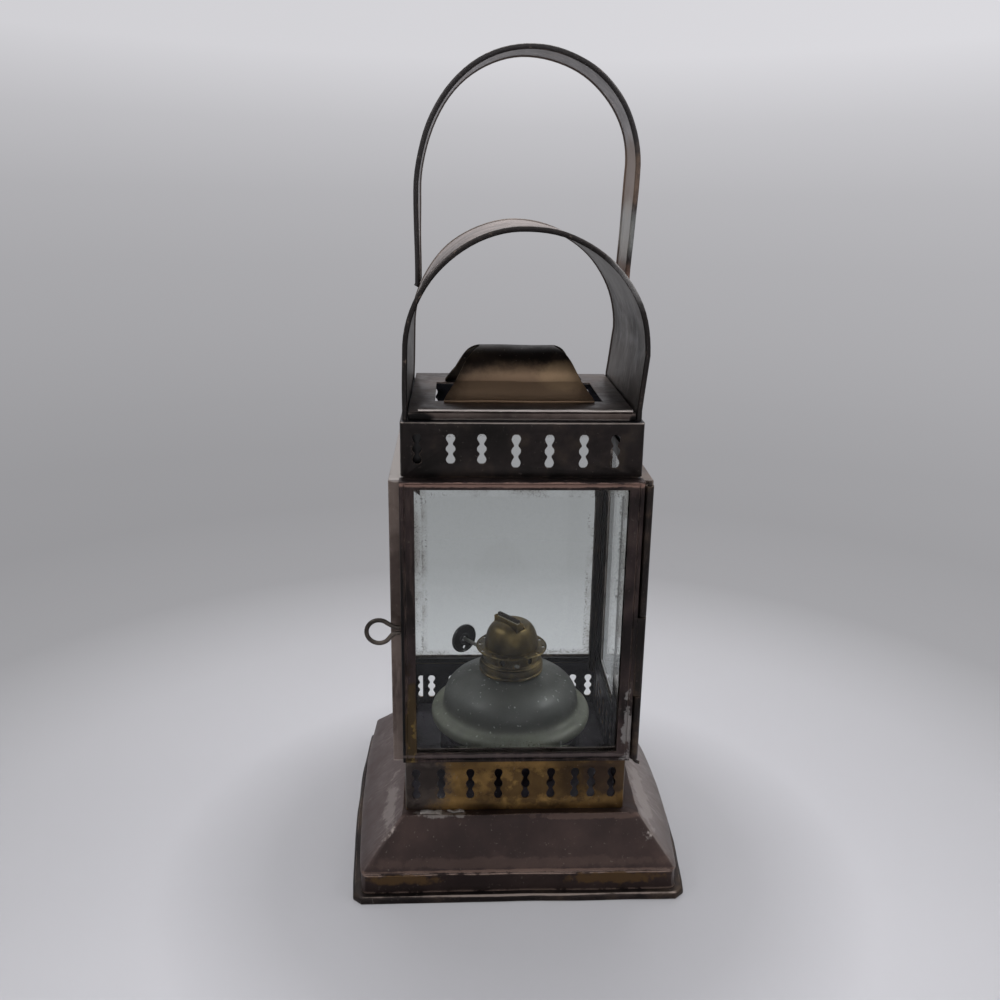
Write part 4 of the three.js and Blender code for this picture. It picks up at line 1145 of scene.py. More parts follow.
# Painted shade: the dark inner tone inside the lantern. Painted highlight: the pale line along the top front
# edge.
BAND = SheetFinish(
    "dark_band_sheet", "dark_brass", "#181513", "#282221", "#4a4035", rub="#7a6a5c", wear=0.8, edge=0.5,
    blotch=0.35, speck=0.15, streak=0.05, inner="#1f1e24",
    patches=(Patch((0.0, -38.3, 164.7), (70.0, 0.7, 0.35), "#a0968e", 0.9, 0.9),),
)
DOOR_SHEET = SheetFinish(
    "door_sheet", "dark_brass", "#1c1716", "#352b2a", "#665750", rub="#7a6960", wear=0.9, edge=0.5,
    streak=0.35, blotch=0.25, speck=0.2,
    patches=(
        Patch((-36.1, -43.0, 58.0), (2.5, 3.0, 21.0), "#7d6736", 0.9, 2.4),
        Patch((-36.3, -43.0, 60.0), (3.0, 3.0, 22.0), "#2b211b", 0.8, 6.0),
        # Painted shadow: a black stripe down the left stile for the gap beside the side frame.
        Patch((-38.5, -43.0, 80.0), (0.75, 3.0, 60.0), "#0d0b0b", 0.9, 0.2),
        # Painted highlight along the lit top edge of the door.
        Patch((0.0, -43.0, 145.7), (70.0, 3.0, 1.0), "#94786c", 0.85, 1.3),
        Patch((0.0, -43.0, 48.9), (70.0, 3.0, 0.8), "#6f6360", 0.6, 1.3),
        # Painted light: a lighter inner face of the bottom rail, where light through the glass falls short.
        Patch((0.0, -38.9, 49.0), (70.0, 1.0, 2.4), "#736966", 0.95, 0.6),
        Patch((37.4, -43.0, 61.0), (1.3, 3.0, 13.0), "#96928e", 0.75, 6.0),
        Patch((38.6, -43.0, 56.0), (1.2, 3.0, 10.0), "#8a8581", 0.75, 6.0),
    ),
)
PURPLE = FlankedFinish(
    "purple_brass_sheet", "purple_brass", "#2d2321", "#392d2a", "#5d4a43", rub="#9a8579", blotch=0.15,
    streak=0.0, speck=0.25, wear=2.6, edge=1.5, rough=(0.38, 0.5),
    patches=(
        Patch((-40.0, -54.2, 7.6), (15.0, 3.0, 2.6), "#5f482c", 0.85, 2.4),
        Patch((34.0, -54.2, 7.4), (20.0, 3.0, 2.8), "#5f482c", 0.85, 2.4),
        Patch((0.0, -53.6, 10.7), (75.0, 1.2, 0.5), "#6b574d", 0.7, 1.2),
        Patch((0.0, -52.0, 12.5), (75.0, 3.0, 2.0), "#54443d", 0.35, 2.2),
        # Painted highlights: pale lines along the shoulder's front edge and pale patches high on the left and
        # right flanks.
        Patch((-26.0, -41.0, 24.6), (12.0, 1.7, 1.0), "#8d8782", 0.55, 3.2),
        Patch((26.0, -42.5, 24.2), (24.0, 2.0, 1.2), "#5c4a42", 0.5, 2.4),
        Patch((-45.0, -30.0, 21.5), (4.0, 22.0, 5.0), "#a79d97", 0.6, 3.0),
        Patch((48.0, -25.0, 21.0), (4.0, 26.0, 6.0), "#b0a6a0", 0.6, 3.0),
    ),
)
# Painted shade: the dark inner tone inside the lantern.
GOLD = SheetFinish(
    "gold_band_sheet", "gold_brass", "#4a3820", "#84663a", "#a3824b", rub="#a88a52", blotch=0.5, speck=0.35,
    wear=0.3, edge=0.5, streak=0.04, inner="#2a282f",
    patches=(
        Patch((8.0, -38.6, 34.0), (24.0, 2.0, 9.0), "#3d2d1c", 0.65, 3.2),
        Patch((-34.0, -38.6, 36.0), (13.5, 2.0, 18.0), "#4a4340", 0.95, 0.9),
        Patch((-34.0, -38.6, 38.0), (11.0, 2.0, 9.0), "#2c2624", 0.6, 2.6),
        Patch((36.0, -38.6, 38.5), (17.0, 2.0, 9.5), "#3b2d24", 0.85, 1.5),
    ),
)
HOOD = SheetFinish(
    "hood_sheet", "gold_brass", "#221c19", "#332a24", "#55483a", rub="#c9ad80", blotch=0.35, wear=0.8,
    edge=0.6, speck=0.4, streak=0.0,
    patches=(
        # Painted light: the front slope is a lighter brown than the dark top; the paler spot on its right is
        # a painted highlight.
        Patch((0.0, -16.0, 166.0), (34.0, 16.0, 16.5), "#8c745c", 0.92, 0.35),
        Patch((16.0, -12.5, 175.0), (12.0, 7.0, 7.0), "#b89c78", 0.45, 0.5),
    ),
)
ROOF = SheetFinish(
    "roof_sheet", "grey_brass", "#3a322f", "#564b46", "#857a72", rub="#b5a99f", wear=1.2, edge=0.5,
    streak=0.1, blotch=0.3,
    patches=(
        # Painted highlights: pale lines along the front fold and just under it.
        Patch((0.0, -35.5, 168.2), (80.0, 0.8, 0.5), "#c9c1ba", 0.9, 0.9),
        Patch((0.0, -35.7, 165.2), (70.0, 0.8, 0.35), "#a89e97", 0.8, 0.9),
        # Painted shade: black patches for the gaps under the roof's front corners.
        Patch((-33.0, -35.7, 165.6), (6.0, 2.5, 2.2), "#050404", 0.97, 0.5),
        Patch((35.3, -35.7, 165.3), (1.7, 2.0, 1.7), "#050404", 0.97, 0.4),
    ),
)
CANOPY = StrapFinish(
    "canopy_strap_sheet", "grey_brass", "#4b4846", "#6b6764", "#8f8a86", rub="#77675c", streak=0.7, wear=0.3,
    blotch=0.3, centre=(1.1, 185.5), half=35.7,
    patches=(
        Patch((34.0, -8.0, 211.0), (13.0, 46.0, 18.0), "#a5a3a0", 0.5, 0.5),
        Patch((38.0, 0.0, 172.0), (6.0, 42.0, 15.0), "#55493f", 0.45, 0.5),
    ),
)
HANDLE = StrapFinish(
    "handle_strap_sheet", "grey_brass", "#8b898a", "#b3b0b1", "#cfc6c0", rub="#6f6259", streak=0.6, wear=0.3,
    blotch=0.4, centre=(1.65, 241.6), half=11.0, outer_share=0.5,
    patches=(
        Patch((36.5, 0.0, 239.0), (6.0, 17.0, 16.0), "#86705f", 0.75, 0.7),
        Patch((36.0, 0.0, 222.0), (6.0, 16.0, 12.0), "#c3c6c1", 0.5, 0.5),
        Patch((36.0, 0.0, 206.0), (6.0, 20.0, 8.0), "#7d6457", 0.8, 0.6),
    ),
)
WIRE = SheetFinish("wire", "wire", "#37332f", "#5f5952", "#8a8075", metallic=0.85, rough=(0.3, 0.45))
PULL = SheetFinish("pull_wire", "wire", "#2e2a27", "#534c46", "#7a6f66", metallic=0.8, rough=(0.32, 0.5))
PIN = SheetFinish("dark_pin_wire", "wire", "#171413", "#2b2624", "#5a5049", metallic=0.7)
BURNER = SheetFinish(
    "burner_sheet", "burner_brass", "#2b2418", "#544629", "#857246", rub="#a08a5c", rough=(0.35, 0.52),
)
BLACK = SheetFinish(
    "blackened_steel", "blackened_metal", "#050506", "#0b0b0d", "#26262a", rub="#3a3a40", wear=0.3,
    metallic=0.2,
)
SOLDER = SheetFinish(
    "solder", "grey_brass", "#45403d", "#77726d", "#b5b0aa", metallic=0.6, rough=(0.35, 0.6),
)
# Painted shade: a near-black sheet set behind a slot where there is only shade.
SHADE_TAB_SHEET = SheetFinish(
    "painted_shade_sheet", "dark_brass", "#0c0b0b", "#151312", "#2a2523", wear=0.2, speck=0.1, metallic=0.3,
)


def settle(piece: bpy.types.Object, finish: Finish, body: Body, *nodes: str) -> None:
    """Gives a finished piece its material, its body and the CAD nodes that it stands for.

    Args:
        piece: The piece, its place in its mesh.
        finish: Its finish.
        body: The CAD body that carries it.
        *nodes: The CAD nodes that it replaces.
    """
    piece.data.materials.clear()
    piece.data.materials.append(finish.material())
    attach(piece, body.value)
    if nodes:
        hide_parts(*nodes)
    LOG.info("%s: %d faces on %s", piece.name, len(piece.data.polygons), body.value)


def keep(node: str, finish: Finish) -> None:
    """Keeps a CAD node as it is, with a finish.

    Args:
        node: The node's name.
        finish: Its finish.
    """
    piece = bpy.data.objects[node]
    piece.material_slots[0].material = finish.material()
    LOG.info("%s: kept from the CAD part", node)


# Base


@dataclass
class Base:
    """The rim, the hipped skirt over it and the solder along the shoulder."""

    rim_half: float = 57.0
    rim_height: float = 2.7
    plinth_half: float = 54.4
    plinth_top: float = 10.0
    shoulder_half: float = 42.0
    shoulder_top: float = 24.8
    shoulder_shift: float = 2.0
    ledge_half: float = 34.0
    corner: float = 1.2
    clip: float = 2.6
    bow_left: float = 2.3
    bow_right: float = 4.2
    skew: float = 1.0
    back_share: float = 0.947
    side_cuts: int = 19
    slope_steps: int = 8
    wave: Point = (0.35, 22.0)
    splash_height: float = 0.35
    splashes: tuple[tuple[str, float, float, float, float], ...] = (
        ("solder_run_left", -33.5, -25.5, -39.9, 1.1), ("solder_run_middle", -24.0, -17.5, -39.4, 0.7),
    )

    def square(self, name: str, half: float, height: float, corner: float, segments: int) -> bpy.types.Object:
        """Draws a level square line with rounded or clipped corners and cut sides.

        Args:
            name: The piece's name.
            half: Half its width in millimetres.
            height: Its height in millimetres.
            corner: How far each corner is cut back in millimetres.
            segments: Steps round a corner; 1 clips it.

        Returns:
            The piece, a closed line of edges.
        """
        bpy.ops.mesh.primitive_plane_add(size=2 * half * MM, location=(0, 0, height * MM))
        piece = started(name)
        with editing(piece):
            bpy.ops.mesh.bevel(
                offset=corner * MM, offset_type="OFFSET", segments=segments, affect="VERTICES",
            )
            bpy.ops.mesh.select_all(action="SELECT")
            bpy.ops.mesh.delete(type="ONLY_FACE")
            pick_edges(lambda edge: edge.calc_length() > half * MM)
            bpy.ops.mesh.subdivide(number_cuts=self.side_cuts)
        return piece

    def carry(self, before: Place, after: Place) -> None:
        """Extrudes the selected square to its next row.

        Args:
            before: Half width, shift along X and height of the row that is selected, in millimetres.
            after: The same of the next row.
        """
        step = Vector((after[1] - before[1], 0.0, after[2] - before[2])) * MM
        bpy.ops.mesh.extrude_region_move(TRANSFORM_OT_translate={"value": tuple(step)})
        grown = after[0] / before[0]
        centre = tuple(Vector((after[1], 0.0, after[2])) * MM)
        bpy.ops.transform.resize(value=(grown, grown, 1.0), center_override=centre)

    def bow(self, half: float, height: float) -> None:
        """Bows the left and right sides of the selected row outwards and sets the row askew.

        Args:
            half: Half the row's width in millimetres.
            height: Its height in millimetres.
        """
        pushes = (
            (lambda p: abs(p.x + half * MM) < MM and abs(p.y) < MM, -self.bow_left, "INVERSE_SQUARE", half),
            (lambda p: abs(p.x - half * MM) < MM and abs(p.y) < MM, self.bow_right, "INVERSE_SQUARE", half),
            (lambda p: p.y < (0.5 - half) * MM, 2 * self.skew, "LINEAR", 2 * half),
        )
        for test, push, falloff, size in pushes:
            pick(lambda p: abs(p.z - height * MM) < WELD)
            bpy.ops.mesh.hide(unselected=True)
            pick(test)
            bpy.ops.transform.translate(
                value=(push * MM, 0, 0), use_proportional_edit=True, proportional_edit_falloff=falloff,
                proportional_size=size * MM,
            )
            bpy.ops.mesh.reveal(select=False)
        pick(lambda p: abs(p.z - height * MM) < WELD)
        bpy.ops.transform.translate(value=(-self.skew * MM, 0, 0))

    def shorten(self) -> None:
        """Brings the back half of the mesh in edit mode nearer. The real base is less deep behind."""
        pick(lambda p: p.y > 0)
        bpy.ops.transform.resize(value=(1, self.back_share, 1), center_override=(0, 0, 0))

    def skirt(self) -> bpy.types.Object:
        """Makes the skirt from its ledge outwards and down, then gives it its wall.

        Returns:
            The skirt.
        """
        shift, top = self.shoulder_shift, self.shoulder_top
        piece = self.square("base_skirt_sheet", self.ledge_half, top, self.corner, 3)
        foot = self.plinth_half - 0.25
        foot_height = self.plinth_top + 0.6
        with editing(piece):
            bpy.ops.transform.translate(value=(shift * MM, 0, 0))
            rows: list[Place] = [(self.ledge_half, shift, top), (self.shoulder_half - 0.4, shift, top)]
            rows += [(self.shoulder_half, shift, top - 0.25), (foot, 0.0, foot_height)]
            for before, after in pairwise(rows):
                self.carry(before, after)
            self.bow(foot, foot_height)
            plinth = self.plinth_half - 0.35
            low = [
                (foot, 0.0, foot_height), (foot + 0.2, 0.0, foot_height - 0.4),
                (foot, 0.0, foot_height - 0.8), (plinth - 0.25, 0.0, foot_height - 1.0),
                (plinth, 0.0, foot_height - 1.4), (plinth, 0.0, 7.0), (plinth + 0.1, 0.0, 4.5),
                (self.plinth_half, 0.0, self.rim_height),
            ]
            for before, after in pairwise(low):
                self.carry(before, after)
            half_rise = (top - foot_height) / 2 * MM
            pick_edges(lambda edge: abs(edge.verts[0].co.z - edge.verts[1].co.z) > half_rise)
            bpy.ops.mesh.subdivide(number_cuts=self.slope_steps - 1)
            bpy.ops.mesh.select_mode(type="VERT")
            self.shorten()
            closed_up()
        apply(piece, "SOLIDIFY", thickness=SHEET * MM, offset=-1.0)
        waver(piece, *self.wave)
        smooth(piece, 30.0)
        return piece

    def rim(self) -> bpy.types.Object:
        """Makes the hemmed rim, rolled along its outer edge.

        Returns:
            The rim.
        """
        inner = self.plinth_half - SHEET - 0.15
        outer = self.rim_half
        start = outer - 0.5
        top = self.rim_height
        piece = self.square("base_rim_hem", start, 0.0, self.clip, 1)
        rows: list[Place] = [
            (start, 0, 0), (outer - 0.1, 0, 0.25), (outer, 0, 0.8), (outer, 0, 1.7),
            (outer - 0.25, 0, top - 0.35), (outer - 0.8, 0, top), (outer - 1.6, 0, top - 0.15),
            (outer - 2.2, 0, top), (inner, 0, top), (inner, 0, 0), (start, 0, 0),
        ]
        with editing(piece):
            self.bow(start, 0.0)
            for before, after in pairwise(rows):
                self.carry(before, after)
            self.shorten()
            closed_up()
        waver(piece, *self.wave)
        smooth(piece)
        return piece

    def splash(self, name: str, start: float, end: float, depth: float, width: float) -> bpy.types.Object:
        """Lays an uneven run of solder along the foot of the lower band.

        Args:
            name: The piece's name.
            start: x of its left end in millimetres.
            end: x of its right end.
            depth: Its y.
            width: Half its width.

        Returns:
            The run.
        """
        section = [(across * width, inwards * self.splash_height) for across, inwards in ring_of(1.0, 12)]
        height = self.shoulder_top
        path = [(start, height), *eased((start, height), (end, height), 22)]
        piece = sweep(name, section, path, depth)
        with editing(piece):
            for end_x in (start, end):
                pick(lambda p, x=end_x: abs(p.x - x * MM) < WELD)
                middle = (0, depth * MM, height * MM)
                bpy.ops.transform.resize(value=(1, 0.3, 0.3), center_override=middle)
        waver(piece, 0.6, 2.2)
        smooth(piece, 80.0)
        return piece

    def build(self) -> None:
        """Builds and dresses the base."""
        settle(self.skirt(), PURPLE, Body.HOUSING, "base_skirt")
        settle(self.rim(), RIM, Body.HOUSING, "base_rim")
        for name, start, end, depth, width in self.splashes:
            settle(self.splash(name, start, end, depth, width), SOLDER, Body.HOUSING)


# Body and door


@dataclass(frozen=True)
class Channel:
    """A pane's channel frame: a bead round its outer edge, a groove, and a flat inner face.

    Attributes:
        half: Half its width in millimetres.
        foot: Height of its lower edge.
        head: Height of its upper edge.
        stile: Width of its stiles.
        bottom: Width of its bottom rail.
        top: Width of its top rail.
        back: Distance of its back from the middle plane.
        depth: How deep it is.
        far: Reach of the pane's grime across its thickness, so large that it never counts.
    """

    half: float
    foot: float
    head: float
    stile: float
    bottom: float
    top: float
    back: float
    depth: float = 4.8
    far: float = 400.0

    def frame(self, name: str) -> bpy.types.Object:
        """Folds the frame. It faces -Y.

        Args:
            name: The piece's name.

        Returns:
            The finished frame.
        """
        wall = SHEET / self.stile
        lip = self.depth - SHEET
        front = -self.back - self.depth
        section = [
            (0.0, self.depth), (0.0, 0.35), (0.03, 0.1), (0.08, 0.0), (0.24, 0.0), (0.29, 0.1), (0.31, 0.5),
            (0.36, 0.5), (0.38, 0.1), (0.42, 0.0), (0.92, 0.05), (0.98, 0.15), (1.0, 0.3), (1.0, SHEET),
            (wall, SHEET), (wall, lip), (1.0, lip), (1.0, self.depth), (0.0, self.depth),
        ]
        rows = []
        for share, inwards in section:
            side = self.half - self.stile * share
            low, high = self.foot + self.bottom * share, self.head - self.top * share
            rows.append((side, low, high, front + inwards))
        piece = frame_of(name, rows)
        smooth(piece, 40.0)
        return piece

    def pane(self, name: str, sideways: bool = False) -> PaneFinish:
        """The finish of the pane that the frame holds.

        Args:
            name: The material's name.
            sideways: Whether the pane faces along X and not along Y.

        Returns:
            The finish, with its grime by this frame's opening.
        """
        low, high = self.foot + self.bottom, self.head - self.top
        wide, tall = self.half - self.stile, (high - low) / 2
        reach = (self.far, wide, tall) if sideways else (wide, self.far, tall)
        return PaneFinish(name, (0.0, 0.0, (low + high) / 2), reach)


@dataclass
class GlazedBody:
    """The two air bands, the posts, the fixed pane frames with their glass, and the floor."""

    side: Channel = Channel(half=37.55, foot=44.3, head=145.9, stile=4.0, bottom=3.0, top=3.0, back=37.85)
    back: Channel = Channel(half=40.0, foot=44.3, head=147.0, stile=4.6, bottom=2.0, top=3.0, back=37.85)
    soft_nodes: tuple[tuple[str, SheetFinish, float], ...] = (
        ("upper_vent_band", BAND, 0.08), ("lower_vent_band", GOLD, 0.08),
        ("front_left_post", DARK, 0.15), ("front_right_post", DARK, 0.15),
        ("back_left_post", DARK, 0.15), ("back_right_post", DARK, 0.15),
        ("door_header", DARK, 0.15), ("left_header", DARK, 0.15), ("right_header", DARK, 0.15),
        ("floor_plate", FLOOR, 0.15),
    )
    tab_depth: float = -36.4
    tab_sheet: float = 0.5
    tab_outline: tuple[Point, ...] = (
        (-36.3, 148.2), (-28.6, 148.2), (-27.8, 149.0), (-27.8, 162.4), (-28.6, 163.2), (-36.3, 163.2),
    )

    def corner_tab(self) -> bpy.types.Object:
        """Cuts the tab behind the upper band's first slot, a dark sheet that stands for the shade seen
        through the slot.

        Returns:
            The tab.
        """
        points = [(x, self.tab_depth, z) for x, z in self.tab_outline]
        piece = chain("band_corner_tab", [*points, points[0]])
        with editing(piece):
            bpy.ops.mesh.edge_face_add()
        apply(piece, "SOLIDIFY", thickness=self.tab_sheet * MM, offset=0.0)
        rounded(piece, 0.12)
        return piece

    def build(self) -> None:
        """Builds and dresses the body."""
        for node, finish, width in self.soft_nodes:
            settle(softened(node, f"{node}_sheet", width), finish, Body.HOUSING, node)
        settle(self.corner_tab(), SHADE_TAB_SHEET, Body.HOUSING)
        for name, turn, channel in (("right", 1, self.side), ("back", 2, self.back), ("left", 3, self.side)):
            frame = channel.frame(f"{name}_pane_frame_channel")
            with editing(frame):
                turn_selection(turn * math.pi / 2, "Z", Vector((0, 0, 0)))
            settle(frame, FRAME, Body.HOUSING, f"{name}_pane_frame")
            keep(f"{name}_glass", channel.pane(f"{name}_glass_pane", sideways=channel is self.side))


@dataclass
class Door:
    """The door's frame and glass, its hinge and its wire pull."""

    channel: Channel = Channel(half=39.0, foot=46.4, head=146.8, stile=4.7, bottom=3.5, top=2.8, back=38.1)
    pull_height: float = 95.4
    pull_depth: float = -41.25
    wire_radius: float = 0.75
    loop_radius: float = 4.1
    loop_centre: float = -46.3
    door_edge: float = -39.1
    hinge: Point = (40.7, -41.2)
    pin_radius: float = 0.6
    pin_bend: float = 46.1

    def pull(self) -> bpy.types.Object:
        """Bends the pull: a round eye whose two legs close up and run to the door's edge.

        Returns:
            The pull.
        """
        height, edge = self.pull_height, self.door_edge
        eye = arc((self.loop_centre, height - 0.5), self.loop_radius, 48, 312, 24)
        upper = [(edge, height + 0.95), (edge - 0.9, height + 0.97), (edge - 1.9, height + 1.1),
                 (edge - 2.9, height + 1.6)]
        lower = [(x, 2 * height - z) for x, z in reversed(upper)]
        return sweep(
            "door_pull_wire", ring_of(self.wire_radius, 14), [*upper, *eye, *lower], self.pull_depth,
        )

    def pin(self) -> bpy.types.Object:
        """Makes the hinge pin with its crooked tail.

        Returns:
            The pin.
        """
        x, bend = self.hinge[0], self.pin_bend
        path = [(x, self.channel.head), (x, bend + 0.6), (x + 0.08, bend + 0.2), (x + 0.3, bend - 0.35),
                (x + 0.8, bend - 0.85), (x + 1.4, bend - 1.2), (x + 2.0, bend - 1.4)]
        return sweep("hinge_pin_wire", ring_of(self.pin_radius, 12), path, self.hinge[1])

    def build(self) -> None:
        """Builds and dresses the door."""
        settle(self.channel.frame("door_frame_channel"), DOOR_SHEET, Body.DOOR, "door_frame")
        keep("door_glass", self.channel.pane("door_glass_pane"))
        pull = self.pull()
        smooth(pull, 60.0)
        settle(pull, PULL, Body.DOOR, "door_pull")
        pin = self.pin()
        smooth(pin, 60.0)
        settle(pin, PIN, Body.HOUSING, "hinge_pin")
        for node, body in (("door_leaf", Body.DOOR), ("lower_body_leaf", Body.HOUSING),
                           ("upper_body_leaf", Body.HOUSING)):
            settle(softened(node, f"{node}_plate", 0.12), DARK, body, node)


# Roof, hood, canopy and handle


@dataclass
class Crown:
    """All that stands on the upper band."""

    lip_top: float = 164.8
    roof: float = 167.3
    strap_half: float = 35.7
    foot_half: float = 37.6
    knee_height: float = 168.0
    vault_radius: float = 38.4
    vault_centre: Point = (1.1, 185.5)
    hem: float = 1.7
    handle_half: float = 11.0
    handle_radius: float = 35.7
    handle_shift: float = 1.65
    handle_top: float = 277.3
    handle_falls: Point = (43.8, 34.4)
    handle_legs: Point = (-34.15, 35.8)
    foot_run: float = 0.8
    foot_gap: float = 1.1
    hem_radius: float = 0.6
    hem_path: tuple[Point, ...] = tuple((x, 167.75) for x in range(-33, 36, 2))
    hem_depth: float = -35.25
    hood_half: float = 25.0
    hood_foot: tuple[Point, ...] = ((20.3, 0.8), (19.4, 0.8), (18.7, 1.15))
    hood_waist: float = 24.9
    hood_taper: float = 5.5
    hood_round: float = 3.0
    crease: Place = (13.5, 173.5, 21.2)
    crease_angle: float = 29.0
    crest: float = 183.5

    def strap_section(self, half: float, cuts: int) -> list[Point]:
        """The section of a strap whose two long edges are rolled round a wire.

        Args:
            half: Half its width in millimetres.
            cuts: Points across its flat part.

        Returns:
            The closed outline as (across, in) millimetres.
        """
        bead = self.hem / 2
        start = math.degrees(math.asin(SHEET / 2 / bead))
        near = arc((-half + bead, SHEET / 2), bead, start, 360 - start, 12)
        far = [(-across, inwards) for across, inwards in near]
        inner_side = eased(near[0], far[0], cuts)[:-1]
        outer_side = eased(far[-1], near[-1], cuts)[:-1]
        return [*reversed(near), *inner_side, *far, *outer_side]

    def canopy(self) -> bpy.types.Object:
        """Bends the canopy over the roof.

        Returns:
            The canopy.
        """
        foot = (self.foot_half, self.lip_top)
        knee = (self.foot_half, self.knee_height)
        middle, height = self.vault_centre
        upright_run = [foot, *eased(foot, knee, 2)]
        left = [(-x, z) for x, z in upright_run]
        left += eased(left[-1], (middle - self.vault_radius, height), 5)[:-1]
        right = eased((middle + self.vault_radius, height), knee, 5)[:-1] + upright_run[::-1]
        vault = arc(self.vault_centre, self.vault_radius, 180, 0, 44)
        piece = sweep("canopy_strap", self.strap_section(self.strap_half, 14), [*left, *vault, *right])
        waver(piece, 0.5, 26.0)
        smooth(piece)
        return piece

    def handle_foot(self, x: float) -> list[Point]:
        """The points of one of the handle's feet.

        Args:
            x: Where its leg leaves the canopy.

        Returns:
            The points, from the foot's tip up to that place.
        """
        radius = self.vault_radius + self.foot_gap + SHEET
        across = x - self.vault_centre[0]
        meet = math.degrees(math.acos(abs(across) / radius))
        tip = meet - math.degrees(self.foot_run / radius)
        points = arc((0.0, self.vault_centre[1]), radius, tip, meet, 3)
        return [(self.vault_centre[0] + math.copysign(px, across), pz) for px, pz in points]

    def handle(self) -> bpy.types.Object:
        """Bends the handle, lower on its left, its feet lying on the canopy's shoulders.

        Returns:
            The handle.
        """
        bow = []
        for angle in (math.radians(180 - 4 * i) for i in range(46)):
            fall = self.handle_falls[0 if math.cos(angle) < 0 else 1]
            bow.append((self.handle_shift + self.handle_radius * math.cos(angle),
                        self.handle_top - fall * (1 - math.sin(angle))))
        left, right = (self.handle_foot(leg) for leg in self.handle_legs)
        left += eased(left[-1], bow[0], 8)[:-1]
        right = eased(bow[-1], right[-1], 9)[:-1] + right[::-1]
        piece = sweep("handle_strap", self.strap_section(self.handle_half, 6), [*left, *bow, *right])
        waver(piece, 0.4, 26.0)
        smooth(piece)
        return piece

    def hood(self) -> bpy.types.Object:
        """Bends the hood from one sheet, narrower at its top, and gives it its wall.

        Returns:
            The hood.
        """
        side, rise, width = self.crease
        waist = self.hood_waist
        start = math.radians(self.crease_angle)
        half = [(y, self.roof + over, self.hood_half) for y, over in self.hood_foot]
        near, low, _ = half[-1]
        half[-1] = (near, low, waist)
        for share in (0.33, 0.66, 0.94):
            half.append((near + (side - near) * share, low + (rise - low) * share,
                         waist + (width - waist) * share))
        for i in range(10):
            angle = start + (math.pi / 2 - start) * i / 10
            share = (math.sin(angle) - math.sin(start)) / (1 - math.sin(start))
            narrowed = self.hood_taper * share + self.hood_round * share ** 6
            half.append((side * math.cos(angle) / math.cos(start), rise + (self.crest - rise) * share,
                         width - narrowed))
        top_width = width - self.hood_taper - self.hood_round
        rows = [(-y, z, w) for y, z, w in half] + [(0.0, self.crest, top_width)]
        rows += [(y, z, w) for y, z, w in reversed(half)]
        piece = chain("vent_hood_sheet", [(-1.0, y, z) for y, z, _ in rows])
        with editing(piece):
            for _ in range(10):
                bpy.ops.mesh.extrude_region_move(TRANSFORM_OT_translate={"value": (0.2 * MM, 0, 0)})
            for y, z, wide in rows:
                pick(lambda p, y=y, z=z: abs(p.y - y * MM) < WELD and abs(p.z - z * MM) < WELD)
                bpy.ops.transform.resize(value=(wide, 1, 1), center_override=(0, y * MM, z * MM))
            closed_up()
        top = max(piece.data.polygons, key=lambda face: face.center.z)
        apply(piece, "SOLIDIFY", thickness=SHEET * MM, offset=-1.0 if top.normal.z > 0 else 1.0)
        waver(piece, 0.3, 16.0)
        rounded(piece, 0.2)
        return piece

    def build(self) -> None:
        """Builds and dresses the crown."""
        settle(softened("roof_plate", "roof_plate_sheet", 0.5, 3), ROOF, Body.HOUSING, "roof_plate")
        hem = sweep("roof_front_hem", ring_of(self.hem_radius, 12), self.hem_path, self.hem_depth)
        waver(hem, 0.2, 12.0)
        smooth(hem, 80.0)
        settle(hem, ROOF, Body.HOUSING)
        settle(self.hood(), HOOD, Body.HOUSING, "vent_hood")
        settle(self.canopy(), CANOPY, Body.HOUSING, "canopy")
        settle(self.handle(), HANDLE, Body.HOUSING, "handle")


# Fount and burner


